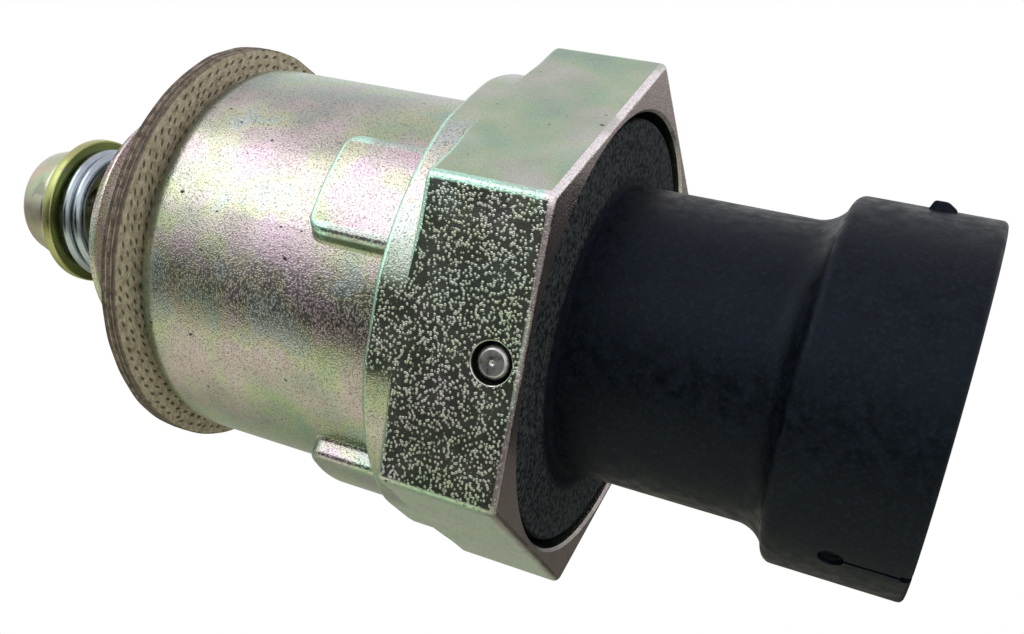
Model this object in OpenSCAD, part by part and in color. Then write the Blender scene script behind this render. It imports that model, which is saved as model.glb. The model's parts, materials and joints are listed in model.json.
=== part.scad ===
// Idle air control valve: a stepper motor in a threaded hexagon casting that
// slides a spring-loaded pintle in and out of the air passage it closes.
// The axis is Z. The origin is on the axis, at the sealing face of the gasket.
// The pintle points down (-Z) and the connector opens upwards (+Z).

/* [Housing] */
// Hexagon, across flats
hex_af = 32; // [30:0.5:36]
// Hexagon height
hex_h = 8; // [7:0.5:12]
// Corner radius of the hexagon
hex_corner_r = 0.8; // [0.4:0.1:2]
// Wall between the flats of the hexagon and the bore for the connector
rim_wall = 0.8; // [0.6:0.05:1]
// Height of the round collar in front of the hexagon
collar_h = 2.1; // [1.5:0.1:4]
// How far the collar stands out beyond the flats of the hexagon
collar_proud = 0.2; // [0.1:0.05:0.6]
// How far the barrel lies inside the flats of the hexagon
barrel_inset = 2.1; // [1.6:0.1:2.6]
// Wall of the barrel round the motor
barrel_wall = 1.6; // [1.2:0.1:2]
// Radius on the front edge of the barrel
barrel_edge_r = 1.4; // [0.8:0.1:1.6]
// Width of the pads on the barrel
pad_w = 7.2; // [4:0.1:9]
// Length of the pads, in front of the collar
pad_len = 6.2; // [3:0.1:9]
// Height of the pads above the barrel
pad_h = 1.25; // [0.6:0.05:1.6]
// Corner radius of the pads
pad_corner_r = 1.1; // [0.5:0.1:2]
// Angle of the first pad, from the flat at the front of the part
pad_angle = 60; // [0:1:90]
// Number of pads round the barrel
pad_count = 4; // [2:1:6]

/* [Threaded nose] */
// Outside diameter of the thread
thread_d = 20; // [19:0.5:22]
// Length of the nose below the sealing face of the gasket
nose_len = 6.6; // [5:0.2:8]
// Chamfer at the end of the nose
nose_chamfer = 0.6; // [0.3:0.1:1]
// Depth of the undercut behind the thread, under the gasket
thread_relief = 0.6; // [0.4:0.1:1]
// Diameter of the spring pocket in the nose
pocket_d = 12.6; // [12.2:0.1:14]
// Depth of the spring pocket above the sealing face
pocket_top = 2; // [1.6:0.1:3]
// Thickness of the wall between the spring pocket and the motor
front_wall = 2; // [1.5:0.1:3]

/* [Gasket] */
// How far the gasket stands out beyond the barrel
gasket_proud = 1.3; // [0.5:0.1:2.5]
// Gasket thickness
gasket_t = 1.2; // [0.8:0.1:1.6]

/* [Pintle and spring] */
// Distance from the sealing face to the flange of the pintle, as photographed
pintle_out = 14; // [13:0.5:16]
// Diameter of the flange on the pintle
pintle_flange_d = 11.8; // [11.4:0.1:12.2]
// Thickness of that flange
pintle_flange_t = 0.9; // [0.6:0.1:1.5]
// Diameter of the pintle nose, at the flange
pintle_nose_d = 9.9; // [8.6:0.1:10.6]
// Diameter of the pintle nose, at its tip
pintle_tip_d = 8.5; // [6:0.1:9]
// Length of the pintle nose
pintle_nose_len = 4.1; // [3:0.1:6]
// Diameter of the lead screw
screw_d = 4; // [3.4:0.1:4.4]
// Distance across the two flats of the lead screw
screw_flats = 3.2; // [2.8:0.1:3.3]
// Wire diameter of the spring
wire_d = 0.94; // [0.8:0.02:1]
// Outside diameter of the spring
spring_d = 10.6; // [10.2:0.1:11]
// Turns that move freely in the spring
active_turns = 4.25; // [3:0.25:5]
// Closed turns at each end of the spring
closed_turns = 1.25; // [1:0.25:1.5]
// Thickness of the washer that the spring presses on
seat_t = 0.6; // [0.4:0.1:0.8]

/* [Motor] */
// Height of one of the two coil stacks
stack_h = 7.6; // [7:0.1:8]
// Number of claws on each pole
claw_count = 6; // [4:1:8]
// Sheet thickness of the stator cups
sheet_t = 0.8; // [0.5:0.1:1]
// Outside diameter of the magnet, as a share of the inside of the barrel
magnet_share = 0.53; // [0.5:0.01:0.54]
// Inside diameter of the magnet, as a share of its outside diameter
magnet_bore_share = 0.62; // [0.6:0.01:0.68]
// Air gap between the magnet and the claws
air_gap = 0.4; // [0.3:0.05:0.5]
// Wall of the plastic bobbins
bobbin_wall = 0.6; // [0.4:0.1:0.8]
// Length of nut thread that the lead screw runs in
nut_thread_len = 5; // [4:0.5:6]
// Thickness of the flange on the guide bush
bush_flange_t = 1.2; // [1:0.1:1.6]
// Clearance of a shaft that turns or slides in a bore, on the radius
running_clear = 0.05; // [0.03:0.01:0.08]

/* [Rear bearing] */
// How far the ball bearing stands out beyond the magnet, on the radius
bearing_proud = 0.5; // [0.3:0.1:0.7]
// Bore of the ball bearing
bearing_bore = 6; // [5.8:0.1:6.2]
// Width of the ball bearing
bearing_w = 2.4; // [2.2:0.1:2.6]
// Ball diameter
ball_d = 1.6; // [1.4:0.1:1.7]
// Number of balls
ball_count = 9; // [6:1:10]

/* [Connector] */
// Radial gap round the flange that is held in the hexagon
flange_gap = 0.5; // [0.3:0.1:0.8]
// How far that flange lies below the rear face of the hexagon
flange_sunk = 0.3; // [0:0.1:1]
// Neck length, from the rear face of the hexagon to the hood
neck_len = 13.7; // [12:0.1:20]
// Hood diameter
hood_d = 24; // [23:0.1:26]
// How far the neck lies inside the hood
neck_step = 1.95; // [1.5:0.05:2.2]
// Radius between the neck and the hood
neck_fillet_r = 2.3; // [1.6:0.1:3]
// Hood length
hood_len = 8.8; // [8:0.1:14]
// Radius on the rim of the hood
hood_edge_r = 0.7; // [0.3:0.1:1]
// How far the neck stands off the axis, as photographed
neck_rise = 0.4; // [0:0.05:0.5]
// Wall of the hood at the ends of the socket opening
hood_wall = 3.5; // [3.2:0.1:4]
// Width of the socket opening
socket_w = 10.6; // [10:0.1:12]
// Socket depth
socket_depth = 13.4; // [10:0.1:16]
// Terminal width
terminal_w = 1.6; // [1.2:0.1:2]
// Terminal thickness
terminal_t = 0.8; // [0.6:0.1:0.9]
// Gap between the outer terminals and the ends of the socket
terminal_end = 2; // [1.4:0.1:3]
// Distance from the rim of the hood to the terminal tips
terminal_sunk = 3.6; // [2:0.1:6]

/* [Seal and pin] */
// Section diameter of the seal ring
seal_section = 1.8; // [1.4:0.1:2]
// Diameter of the steel pin in the flat of the hexagon
pin_d = 2; // [1.2:0.1:2.2]
// Length of the pin
pin_len = 3; // [2:0.2:4]
// How far the end of the pin lies below the flat
pin_sunk = 0.1; // [0:0.05:0.2]
// Distance from the rear face of the hexagon to the middle of the pin
pin_inset = 1.9; // [1.8:0.1:2.4]
// How far the pin stands off the middle of the flat, as photographed
pin_offset = 0.55; // [0:0.05:1]
// Diameter of the recess round the end of the pin
pin_recess_d = 2.5; // [2.3:0.1:2.8]
// Depth of that recess
pin_recess = 0.5; // [0.2:0.05:0.6]

/* [Hidden] */

// Smoothness of round features, and of small round features
$fn = 96;
small_fn = 48;
// Steps of an arc in a turned profile
arc_steps = 8;
// Length by which a cut runs past the solid that it cuts
past = 1;
// Clearance between parts that are assembled once and then stay put
slip = 0.1;

// Radii, from the outside in
hex_corner = hex_af / 2 / cos(30);
collar_r = hex_af / 2 + collar_proud;
barrel_r = hex_af / 2 - barrel_inset;
cavity_r = barrel_r - barrel_wall;
rear_bore_r = hex_af / 2 - rim_wall;
flange_r = rear_bore_r - flange_gap;
gasket_r = barrel_r + gasket_proud;
thread_r = thread_d / 2;
pocket_r = pocket_d / 2;
screw_r = screw_d / 2;
magnet_r = magnet_share * cavity_r;
magnet_in_r = magnet_bore_share * magnet_r;
claw_in_r = magnet_r + air_gap;
claw_out_r = claw_in_r + sheet_t;
pole_hole_r = claw_in_r + sheet_t / 2;
motor_r = cavity_r - slip;
bearing_r = magnet_r + bearing_proud;
bearing_in_r = bearing_bore / 2;
hood_r = hood_d / 2;
neck_r = hood_r - neck_step;

// Heights along the axis, from the pintle up to the connector
cavity_z = pocket_top + front_wall;
stack_z = cavity_z + bush_flange_t;
plate_z = stack_z + 2 * stack_h;
bearing_lip = 0.4;
bearing_z = plate_z + bearing_lip;
rear_bore_z = bearing_z + bearing_w;
hex_top = rear_bore_z + hex_h;
collar_z = hex_top - hex_h - collar_h;
neck_z = hex_top - flange_sunk;
hood_z = hex_top + neck_len;
rim_z = hood_z + hood_len;
seat_z = pocket_top - seat_t;
pin_z = hex_top - pin_inset;
seal_z = rear_bore_z + 2 / 7 * (neck_z - rear_bore_z);

// Rotor and guide bush
boss_r = magnet_r - 1.1;
boss_h = 1.8;
boss_top = stack_z + boss_h;
bush_body_r = 5;
journal_r = 3.25;
journal_z = cavity_z + 0.8;
nut_z = boss_top + 0.3;
magnet_z = nut_z + 0.5;
magnet_top = plate_z - 0.4;
thread_z = nut_z + 1.7;
screw_relief_r = screw_r + 0.4;
screw_top = thread_z + nut_thread_len + 3;
nut_tail = 0.8;

// Bearing: the balls run on the pitch circle between the two races
ball_pitch_r = (bearing_in_r + bearing_r) / 2;
race_half_gap = 0.8 * ball_d / 2;
ball_clear = 0.03;
bearing_mid = bearing_z + bearing_w / 2;
bearing_ledge = 0.9;

// Washer under the connector, and the room for the end of the lead screw
washer_h = 0.6;
washer_t = 0.3;
washer_out_r = bearing_r - 0.15;
washer_in_r = ball_pitch_r + race_half_gap + 0.15;
washer_room_r = bearing_r + 0.4;
screw_room_r = ball_pitch_r;
screw_room_top = rear_bore_z + 4.4;

// Length of the lead screw that the pintle is pressed on
screw_grip = 2.6;

// Lengths of the terminals, and where they stand
terminal_top = rim_z - terminal_sunk;
terminal_foot = screw_room_top - 2;
terminal_tip = 0.8;
socket_floor = rim_z - socket_depth;
socket_l = 2 * (hood_r - hood_wall);
terminal_pitch = (socket_l - 2 * terminal_end - terminal_w) / 3;

// Claw angles: a claw takes a little less than half of its share of the circle
claw_share = 360 / claw_count;
claw_angle = 0.4 * claw_share;

// Points of an arc round a centre, from one angle to another
function arc(c, r, a0, a1, steps = arc_steps) =
    [for (i = [0 : steps]) let (a = a0 + (a1 - a0) * i / steps) c + r * [cos(a), sin(a)]];

// Turned ring between two radii
module ring(r_out, r_in, h) {
    difference() {
        cylinder(r = r_out, h = h);
        translate([0, 0, -past])
            cylinder(r = r_in, h = h + 2 * past);
    }
}

// Rectangle with round corners, centred
module round_rect(l, w, r) {
    polygon(concat(
        arc([l / 2 - r, w / 2 - r], r, 0, 90),
        arc([r - l / 2, w / 2 - r], r, 90, 180),
        arc([r - l / 2, r - w / 2], r, 180, 270),
        arc([l / 2 - r, r - w / 2], r, 270, 360)
    ));
}

// Hexagon with round corners, with one flat towards -Y
module hexagon(h) {
    reach = hex_corner - hex_corner_r / cos(30);
    linear_extrude(h)
        polygon([
            for (k = [0 : 5], p = arc(
                reach * [cos(60 * k), sin(60 * k)], hex_corner_r, 60 * k - 30, 60 * k + 30
            )) p
        ]);
}

// Housing: one casting, with the threaded nose, the barrel and the hexagon
module barrel() {
    rotate_extrude()
        polygon(concat(
            [[0, -nose_len], [thread_r - nose_chamfer, -nose_len]],
            [[thread_r, nose_chamfer - nose_len], [thread_r, 0]],
            [[thread_r - thread_relief, thread_relief], [thread_r - thread_relief, gasket_t]],
            arc([barrel_r - barrel_edge_r, gasket_t + barrel_edge_r], barrel_edge_r, -90, 0),
            [[barrel_r, collar_z + past], [0, collar_z + past]]
        ));
}

module pad() {
    intersection() {
        translate([0, 0, collar_z - pad_len])
            cylinder(r = barrel_r + pad_h, h = pad_len + past);
        translate([0, 0, collar_z + (past - pad_len) / 2])
            rotate([90, 0, 0])
                linear_extrude(barrel_r + pad_h)
                    round_rect(pad_w, pad_len + past, pad_corner_r);
    }
}

// The flats of the hexagon run on across the collar
module collar() {
    intersection() {
        cylinder(r = collar_r, h = collar_h + past);
        hexagon(collar_h + past);
    }
}

// Cross hole through the rim of the hexagon, into the flange of the connector
module pin_hole() {
    translate([pin_offset, -hex_af / 2, pin_z])
        rotate([90, 0, 0]) {
            translate([0, 0, -pin_sunk - pin_len])
                cylinder(d = pin_d, h = pin_len + past, $fn = small_fn);
            translate([0, 0, -pin_recess])
                cylinder(d = pin_recess_d, h = pin_recess + past, $fn = small_fn);
        }
}

module housing() {
    color("darkkhaki")
        difference() {
            union() {
                barrel();
                for (k = [0 : pad_count - 1])
                    rotate(pad_angle + 360 / pad_count * k)
                        pad();
                translate([0, 0, collar_z])
                    collar();
                translate([0, 0, rear_bore_z])
                    hexagon(hex_h);
            }
            translate([0, 0, -nose_len - past])
                cylinder(r = pocket_r, h = nose_len + pocket_top + past);
            cylinder(r = bush_body_r, h = cavity_z + past);
            translate([0, 0, cavity_z])
                cylinder(r = cavity_r, h = hex_top);
            translate([0, 0, rear_bore_z])
                cylinder(r = rear_bore_r, h = hex_h + past);
            pin_hole();
        }
}

module gasket() {
    color("tan")
        ring(gasket_r, thread_r + slip, gasket_t);
}

// Pintle: a turned head, pressed on the end of the lead screw
module pintle() {
    tip_edge_r = 0.5;
    straight = 0.9;
    nose_z = -pintle_flange_t;
    tip_z = nose_z - pintle_nose_len;
    color("palegoldenrod")
        translate([0, 0, -pintle_out])
            difference() {
                rotate_extrude()
                    polygon(concat(
                        [[0, 0], [0, tip_z]],
                        arc([pintle_tip_d / 2 - tip_edge_r, tip_z + tip_edge_r], tip_edge_r, -90, 0),
                        [[pintle_nose_d / 2, nose_z - straight], [pintle_nose_d / 2, nose_z]],
                        [[pintle_flange_d / 2, nose_z], [pintle_flange_d / 2, 0]]
                    ));
                translate([0, 0, -screw_grip])
                    double_d(screw_r, screw_flats, screw_grip + past);
            }
}

// Round bar with two flats
module double_d(r, across, h) {
    intersection() {
        cylinder(r = r, h = h, $fn = small_fn);
        translate([-r, -across / 2, 0])
            cube([2 * r, across, h]);
    }
}

module pintle_shaft() {
    foot = -pintle_out - screw_grip;
    color("silver")
        translate([0, 0, foot])
            double_d(screw_r, screw_flats, screw_top - foot);
}

// Spring: a helix with closed ends, its wire as rings of points joined in turn
spring_start = 155;
spring_steps = 28;
wire_steps = 8;
spring_pitch_r = (spring_d - wire_d) / 2;
spring_rise = seat_z + pintle_out - wire_d;
closed_pitch = 1.06 * wire_d;
active_pitch = (spring_rise - 2 * closed_turns * closed_pitch) / active_turns;
function spring_height(turn) =
    closed_pitch * min(turn, closed_turns)
    + active_pitch * min(max(turn - closed_turns, 0), active_turns)
    + closed_pitch * max(turn - closed_turns - active_turns, 0);

module pintle_spring() {
    turns = active_turns + 2 * closed_turns;
    rings = ceil(turns * spring_steps);
    points = [
        for (i = [0 : rings], j = [0 : wire_steps - 1])
            let (turn = turns * i / rings, a = 360 * turn + spring_start, b = 360 * j / wire_steps)
            let (r = spring_pitch_r + wire_d / 2 * cos(b))
            [r * cos(a), r * sin(a), spring_height(turn) + wire_d / 2 * sin(b)]
    ];
    side = [
        for (i = [0 : rings - 1], j = [0 : wire_steps - 1])
            let (k = (j + 1) % wire_steps, low = i * wire_steps, high = low + wire_steps)
            [low + j, low + k, high + k, high + j]
    ];
    start = [for (j = [wire_steps - 1 : -1 : 0]) j];
    end = [for (j = [0 : wire_steps - 1]) rings * wire_steps + j];
    color("gainsboro")
        translate([0, 0, wire_d / 2 - pintle_out])
            polyhedron(points, concat(side, [start, end]));
}

module spring_seat() {
    color("silver")
        translate([0, 0, seat_z])
            ring(pocket_r - slip, screw_relief_r, seat_t);
}

// Guide bush: stops the pintle from turning, and carries the rotor
module guide_bush() {
    color("peru")
        difference() {
            union() {
                translate([0, 0, pocket_top])
                    cylinder(r = bush_body_r, h = front_wall + past);
                translate([0, 0, cavity_z])
                    cylinder(r = motor_r, h = bush_flange_t);
                translate([0, 0, cavity_z])
                    cylinder(r = boss_r, h = boss_top - cavity_z);
            }
            translate([0, 0, pocket_top - past])
                double_d(
                    screw_r + running_clear, screw_flats + 2 * running_clear,
                    front_wall + 2 * past
                );
            translate([0, 0, journal_z - 0.2])
                cylinder(r = journal_r + running_clear, h = boss_top);
        }
}

// Rotor nut: turns the magnet's rotation into the slide of the lead screw
module rotor_nut() {
    color("ivory")
        difference() {
            union() {
                translate([0, 0, journal_z])
                    cylinder(r = journal_r, h = nut_z - journal_z + past);
                translate([0, 0, nut_z])
                    cylinder(r = magnet_in_r, h = bearing_z - nut_z);
                translate([0, 0, nut_z])
                    cylinder(r = bearing_in_r, h = rear_bore_z + nut_tail - nut_z);
            }
            translate([0, 0, journal_z - past])
                cylinder(r = screw_relief_r, h = thread_z - journal_z + past);
            cylinder(r = screw_r + running_clear, h = rim_z);
            translate([0, 0, thread_z + nut_thread_len])
                cylinder(r = screw_relief_r, h = rim_z);
        }
}

module rotor_magnet() {
    color("dimgray")
        translate([0, 0, magnet_z])
            ring(magnet_r, magnet_in_r, magnet_top - magnet_z);
}

// Claws that stand up from a pole, spread evenly round the magnet
module claws(turned) {
    for (k = [0 : claw_count - 1])
        rotate(turned + claw_share * k - claw_angle / 2)
            rotate_extrude(angle = claw_angle)
                translate([claw_in_r, 0])
                    square([sheet_t, stack_h - 2 * sheet_t]);
}

// Stator cup: floor, wall and one set of claws
module stator_cup() {
    color("lightsteelblue") {
        ring(motor_r, pole_hole_r, sheet_t);
        ring(motor_r, motor_r - sheet_t, stack_h);
        claws(0);
    }
}

// Pole plate: the lid of a stator cup, with the claws that hang between the others
module pole_plate() {
    color("lightslategray") {
        translate([0, 0, stack_h - sheet_t])
            ring(motor_r - sheet_t, pole_hole_r, sheet_t);
        translate([0, 0, stack_h])
            mirror([0, 0, 1])
                claws(claw_share / 2);
    }
}

bobbin_in_r = claw_out_r + slip;
bobbin_out_r = motor_r - sheet_t - slip;
bobbin_h = stack_h - 2 * sheet_t;
module bobbin() {
    color("beige")
        translate([0, 0, sheet_t])
            rotate_extrude()
                polygon([
                    [bobbin_in_r, 0], [bobbin_out_r, 0], [bobbin_out_r, bobbin_wall],
                    [bobbin_in_r + bobbin_wall, bobbin_wall],
                    [bobbin_in_r + bobbin_wall, bobbin_h - bobbin_wall],
                    [bobbin_out_r, bobbin_h - bobbin_wall], [bobbin_out_r, bobbin_h],
                    [bobbin_in_r, bobbin_h]
                ]);
}

module coil() {
    color("chocolate")
        translate([0, 0, sheet_t + bobbin_wall])
            ring(bobbin_out_r - 0.2, bobbin_in_r + bobbin_wall, bobbin_h - 2 * bobbin_wall);
}

// Bearing plate: closes the motor and holds the outer race
module bearing_plate() {
    color("lightgray")
        translate([0, 0, plate_z])
            difference() {
                cylinder(r = motor_r, h = rear_bore_z - plate_z);
                translate([0, 0, -past])
                    cylinder(r = bearing_r - bearing_ledge, h = past + bearing_w);
                translate([0, 0, bearing_lip])
                    cylinder(r = bearing_r, h = bearing_w + past);
            }
}

module ball_groove() {
    translate([0, 0, bearing_mid])
        rotate_extrude()
            translate([ball_pitch_r, 0])
                circle(r = ball_d / 2 + ball_clear, $fn = small_fn);
}

module bearing_inner_race() {
    color("silver")
        difference() {
            translate([0, 0, bearing_z])
                ring(ball_pitch_r - race_half_gap, bearing_in_r, bearing_w);
            ball_groove();
        }
}

module bearing_outer_race() {
    color("silver")
        difference() {
            translate([0, 0, bearing_z])
                ring(bearing_r, ball_pitch_r + race_half_gap, bearing_w);
            ball_groove();
        }
}

module on_ball_circle() {
    for (k = [0 : ball_count - 1])
        rotate(360 / ball_count * k)
            translate([ball_pitch_r, 0, bearing_mid])
                children();
}

module bearing_balls() {
    color("whitesmoke")
        on_ball_circle()
            sphere(d = ball_d, $fn = small_fn);
}

module bearing_cage() {
    cage_half_t = 0.35;
    cage_z = bearing_z + 0.05;
    cage_h = 0.7 * bearing_w;
    color("khaki")
        difference() {
            translate([0, 0, cage_z])
                ring(ball_pitch_r + cage_half_t, ball_pitch_r - cage_half_t, cage_h);
            on_ball_circle()
                sphere(r = ball_d / 2 + ball_clear, $fn = small_fn);
        }
}

// Dished washer that presses the outer race down
module preload_washer() {
    color("silver")
        translate([0, 0, rear_bore_z])
            rotate_extrude()
                polygon([
                    [washer_out_r, 0], [washer_out_r, washer_t],
                    [washer_in_r, washer_h], [washer_in_r, washer_h - washer_t]
                ]);
}

// Connector: one moulding, with the flange, the neck, the hood and the socket
module connector_flange() {
    groove_r = rear_bore_r - seal_section;
    groove_h = seal_section + 0.2;
    difference() {
        translate([0, 0, rear_bore_z])
            cylinder(r = flange_r, h = neck_z - rear_bore_z);
        translate([0, 0, seal_z - groove_h / 2])
            ring(flange_r + past, groove_r, groove_h);
    }
}

module neck_and_hood() {
    shoulder_r = hood_r - hood_edge_r;
    fillet_r = neck_r + neck_fillet_r;
    fillet_end = acos((shoulder_r - fillet_r) / neck_fillet_r);
    fillet_z = hood_z - neck_fillet_r * sin(fillet_end);
    rim_r = 0.3;
    rotate_extrude()
        polygon(concat(
            [[0, neck_z - past], [neck_r, neck_z - past]],
            arc([fillet_r, fillet_z], neck_fillet_r, 180, fillet_end),
            arc([shoulder_r, hood_z + hood_edge_r], hood_edge_r, -90, 0),
            arc([hood_r - rim_r, rim_z - rim_r], rim_r, 0, 90),
            [[0, rim_z]]
        ));
}

// Oval socket, with two ribs on one side that key the plug
module socket_cut() {
    rib_w = 1.2;
    rib_h = 0.8;
    rib_x = 3.4;
    translate([0, 0, socket_floor])
        difference() {
            linear_extrude(socket_depth + past)
                round_rect(socket_l, socket_w, socket_w / 2 - 0.2);
            for (side = [-1, 1])
                translate([side * rib_x - rib_w / 2, socket_w / 2 - rib_h, -past])
                    cube([rib_w, rib_h + past, socket_depth + past - 1.5]);
        }
}

// Small lock on the hood, with a ramp at each end
module hood_lock() {
    lock_h = 0.45;
    lock_w = 3;
    lock_len = 1.8;
    lock_z = hood_z + 4.1;
    root = hood_r - 0.5;
    top = hood_r + lock_h;
    translate([0, lock_w / 2, 0])
        rotate([90, 0, 0])
            linear_extrude(lock_w)
                polygon([
                    [-root, lock_z], [-hood_r, lock_z], [-top, lock_z + 0.4],
                    [-top, lock_z + 1.2], [-hood_r, lock_z + lock_len], [-root, lock_z + lock_len]
                ]);
}

// Sunk gate mark on the hood, and the slit that runs from it to a nick in the rim
gate_angle = 45;
module gate_mark() {
    gate_z = hood_z + 4.3;
    gate_depth = 0.45;
    slit_w = 0.22;
    slit_depth = 0.3;
    nick = 0.6;
    rotate(gate_angle)
        translate([0, -hood_r, 0]) {
            translate([0, gate_depth, gate_z])
                rotate([90, 0, 0])
                    cylinder(d = 1.5, h = gate_depth + past, $fn = small_fn);
            translate([-slit_w / 2, -past, gate_z])
                cube([slit_w, slit_depth + past, rim_z]);
            translate([-nick / 2, -past, rim_z - nick])
                cube([nick, 2 * nick + past, rim_z]);
        }
}

module terminal_bar(i) {
    x = (i - 1.5) * terminal_pitch - neck_rise;
    translate([x - terminal_w / 2, -terminal_t / 2, terminal_foot])
        cube([terminal_w, terminal_t, terminal_top - terminal_foot - terminal_tip]);
}

module connector() {
    color("#26282b")
        difference() {
            union() {
                connector_flange();
                translate([-neck_rise, 0, 0]) {
                    neck_and_hood();
                    hood_lock();
                }
            }
            translate([-neck_rise, 0, 0]) {
                socket_cut();
                gate_mark();
            }
            translate([0, 0, rear_bore_z - past])
                cylinder(r = washer_room_r, h = washer_h + past);
            translate([0, 0, rear_bore_z])
                cylinder(r = screw_room_r, h = screw_room_top - rear_bore_z);
            for (i = [0 : 3])
                terminal_bar(i);
            pin_hole();
        }
}

// Terminal: a flat blade with a chisel tip
module terminal(i) {
    x = (i - 1.5) * terminal_pitch - neck_rise;
    tip_t = 0.3;
    color("goldenrod") {
        terminal_bar(i);
        translate([x - terminal_w / 2, 0, terminal_top - terminal_tip])
            rotate([90, 0, 90])
                linear_extrude(terminal_w)
                    polygon([
                        [-terminal_t / 2, 0], [terminal_t / 2, 0],
                        [tip_t / 2, terminal_tip], [-tip_t / 2, terminal_tip]
                    ]);
    }
}

module seal_ring() {
    color("saddlebrown")
        translate([0, 0, seal_z])
            rotate_extrude()
                translate([rear_bore_r - seal_section / 2, 0])
                    circle(d = seal_section, $fn = small_fn);
}

module retaining_pin() {
    color("gainsboro")
        translate([pin_offset, pin_sunk - hex_af / 2, pin_z])
            rotate([-90, 0, 0])
                cylinder(d = pin_d, h = pin_len, $fn = small_fn);
}

housing();
gasket();
pintle();
pintle_shaft();
pintle_spring();
spring_seat();
guide_bush();
rotor_nut();
rotor_magnet();
translate([0, 0, stack_z]) stator_cup();  // front_stator_cup
translate([0, 0, stack_z]) pole_plate();  // front_pole_plate
translate([0, 0, stack_z]) bobbin();  // front_bobbin
translate([0, 0, stack_z]) coil();  // front_coil
translate([0, 0, stack_z + stack_h]) stator_cup();  // rear_stator_cup
translate([0, 0, stack_z + stack_h]) pole_plate();  // rear_pole_plate
translate([0, 0, stack_z + stack_h]) bobbin();  // rear_bobbin
translate([0, 0, stack_z + stack_h]) coil();  // rear_coil
bearing_plate();
bearing_inner_race();
bearing_outer_race();
bearing_balls();
bearing_cage();
preload_washer();
connector();
terminal(0);  // terminal_1
terminal(1);  // terminal_2
terminal(2);  // terminal_3
terminal(3);  // terminal_4
seal_ring();
retaining_pin();
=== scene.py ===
# %% [markdown]
# # Idle air control valve
# The valve is a small stepper motor in a zinc plated hexagon casting. It slides a
# spring-loaded pintle in and out of an air passage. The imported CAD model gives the
# frame; the pieces that the eye rests on are built again here, with soft edges.

import json
import math
import random

import bmesh
import bpy
from mathutils import Matrix, Vector

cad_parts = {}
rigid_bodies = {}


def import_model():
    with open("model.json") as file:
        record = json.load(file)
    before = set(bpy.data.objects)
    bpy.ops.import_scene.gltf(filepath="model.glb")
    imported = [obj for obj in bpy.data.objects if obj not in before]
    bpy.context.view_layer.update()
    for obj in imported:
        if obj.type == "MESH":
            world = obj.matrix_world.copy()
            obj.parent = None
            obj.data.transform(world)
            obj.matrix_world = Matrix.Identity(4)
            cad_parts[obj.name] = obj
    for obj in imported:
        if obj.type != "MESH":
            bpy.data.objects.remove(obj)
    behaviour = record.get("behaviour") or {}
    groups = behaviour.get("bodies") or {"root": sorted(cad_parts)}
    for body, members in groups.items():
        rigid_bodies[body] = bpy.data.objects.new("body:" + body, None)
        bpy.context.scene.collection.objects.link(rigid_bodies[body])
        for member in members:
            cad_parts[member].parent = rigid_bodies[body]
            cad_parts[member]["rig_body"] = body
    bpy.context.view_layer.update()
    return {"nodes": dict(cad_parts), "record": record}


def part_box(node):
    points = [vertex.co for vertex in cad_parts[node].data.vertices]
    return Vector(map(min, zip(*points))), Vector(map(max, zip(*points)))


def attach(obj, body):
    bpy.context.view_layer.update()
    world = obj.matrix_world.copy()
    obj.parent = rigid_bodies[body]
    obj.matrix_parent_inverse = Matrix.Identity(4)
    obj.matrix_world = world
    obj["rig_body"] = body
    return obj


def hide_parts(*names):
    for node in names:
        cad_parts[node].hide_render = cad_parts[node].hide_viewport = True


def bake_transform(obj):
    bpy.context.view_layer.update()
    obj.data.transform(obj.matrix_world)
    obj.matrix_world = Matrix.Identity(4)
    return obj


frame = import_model()

# %% [markdown]
# ## Working in millimetres
# The parts are a few millimetres thick, so every shape is worked out in millimetres
# and made a thousand times smaller when its piece is finished. A turned part is an
# outline of radius and height that is spun about Z, the same way a lathe makes it.

# %% Helpers for shapes
MM = 0.001
ROUND = 128


def arc(centre, radius, start, end, steps=5):
    """Points of an arc in an outline, from one angle to another, in degrees."""
    angles = [math.radians(start + (end - start) * i / steps) for i in range(steps + 1)]
    return [(centre[0] + radius * math.cos(a), centre[1] + radius * math.sin(a)) for a in angles]


def turned(bm, outline, closed=False, steps=ROUND, rise=0.0):
    """Spins an outline of (radius, height) points about Z. Rise makes it a helix."""
    verts = [bm.verts.new((r, 0, z)) for r, z in outline]
    pairs = list(zip(verts, verts[1:])) + ([(verts[-1], verts[0])] if closed else [])
    edges = [bm.edges.new(pair) for pair in pairs]
    bmesh.ops.spin(
        bm, geom=verts + edges, cent=(0, 0, 0), axis=(0, 0, 1),
        dvec=(0, 0, rise / steps), angle=math.tau, steps=steps, use_merge=not rise,
    )
    bmesh.ops.remove_doubles(bm, verts=bm.verts, dist=1e-4)
    bmesh.ops.recalc_face_normals(bm, faces=bm.faces)
    return bm


def ring(outline, **options):
    """A turned solid whose outline is a closed loop off the axis."""
    return turned(bmesh.new(), outline, closed=True, **options)


def new_object(name, data):
    """Puts a mesh, lamp or camera in the scene."""
    made = bpy.data.objects.new(name, data)
    bpy.context.scene.collection.objects.link(made)
    return made


def boolean(base, tool, operation):
    """Joins, cuts or intersects two solids with the exact Boolean modifier."""
    blanks = []
    for bm in (base, tool):
        bmesh.ops.recalc_face_normals(bm, faces=bm.faces)
        blanks.append(new_object("blank", bpy.data.meshes.new("blank")))
        bm.to_mesh(blanks[-1].data)
        bm.free()
    modifier = blanks[0].modifiers.new("join", "BOOLEAN")
    modifier.operation, modifier.solver, modifier.object = operation, "EXACT", blanks[1]
    result = bmesh.new()
    depsgraph = bpy.context.evaluated_depsgraph_get()
    result.from_mesh(blanks[0].evaluated_get(depsgraph).to_mesh())
    for blank in blanks:
        bpy.data.meshes.remove(blank.data)
    return result


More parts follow.
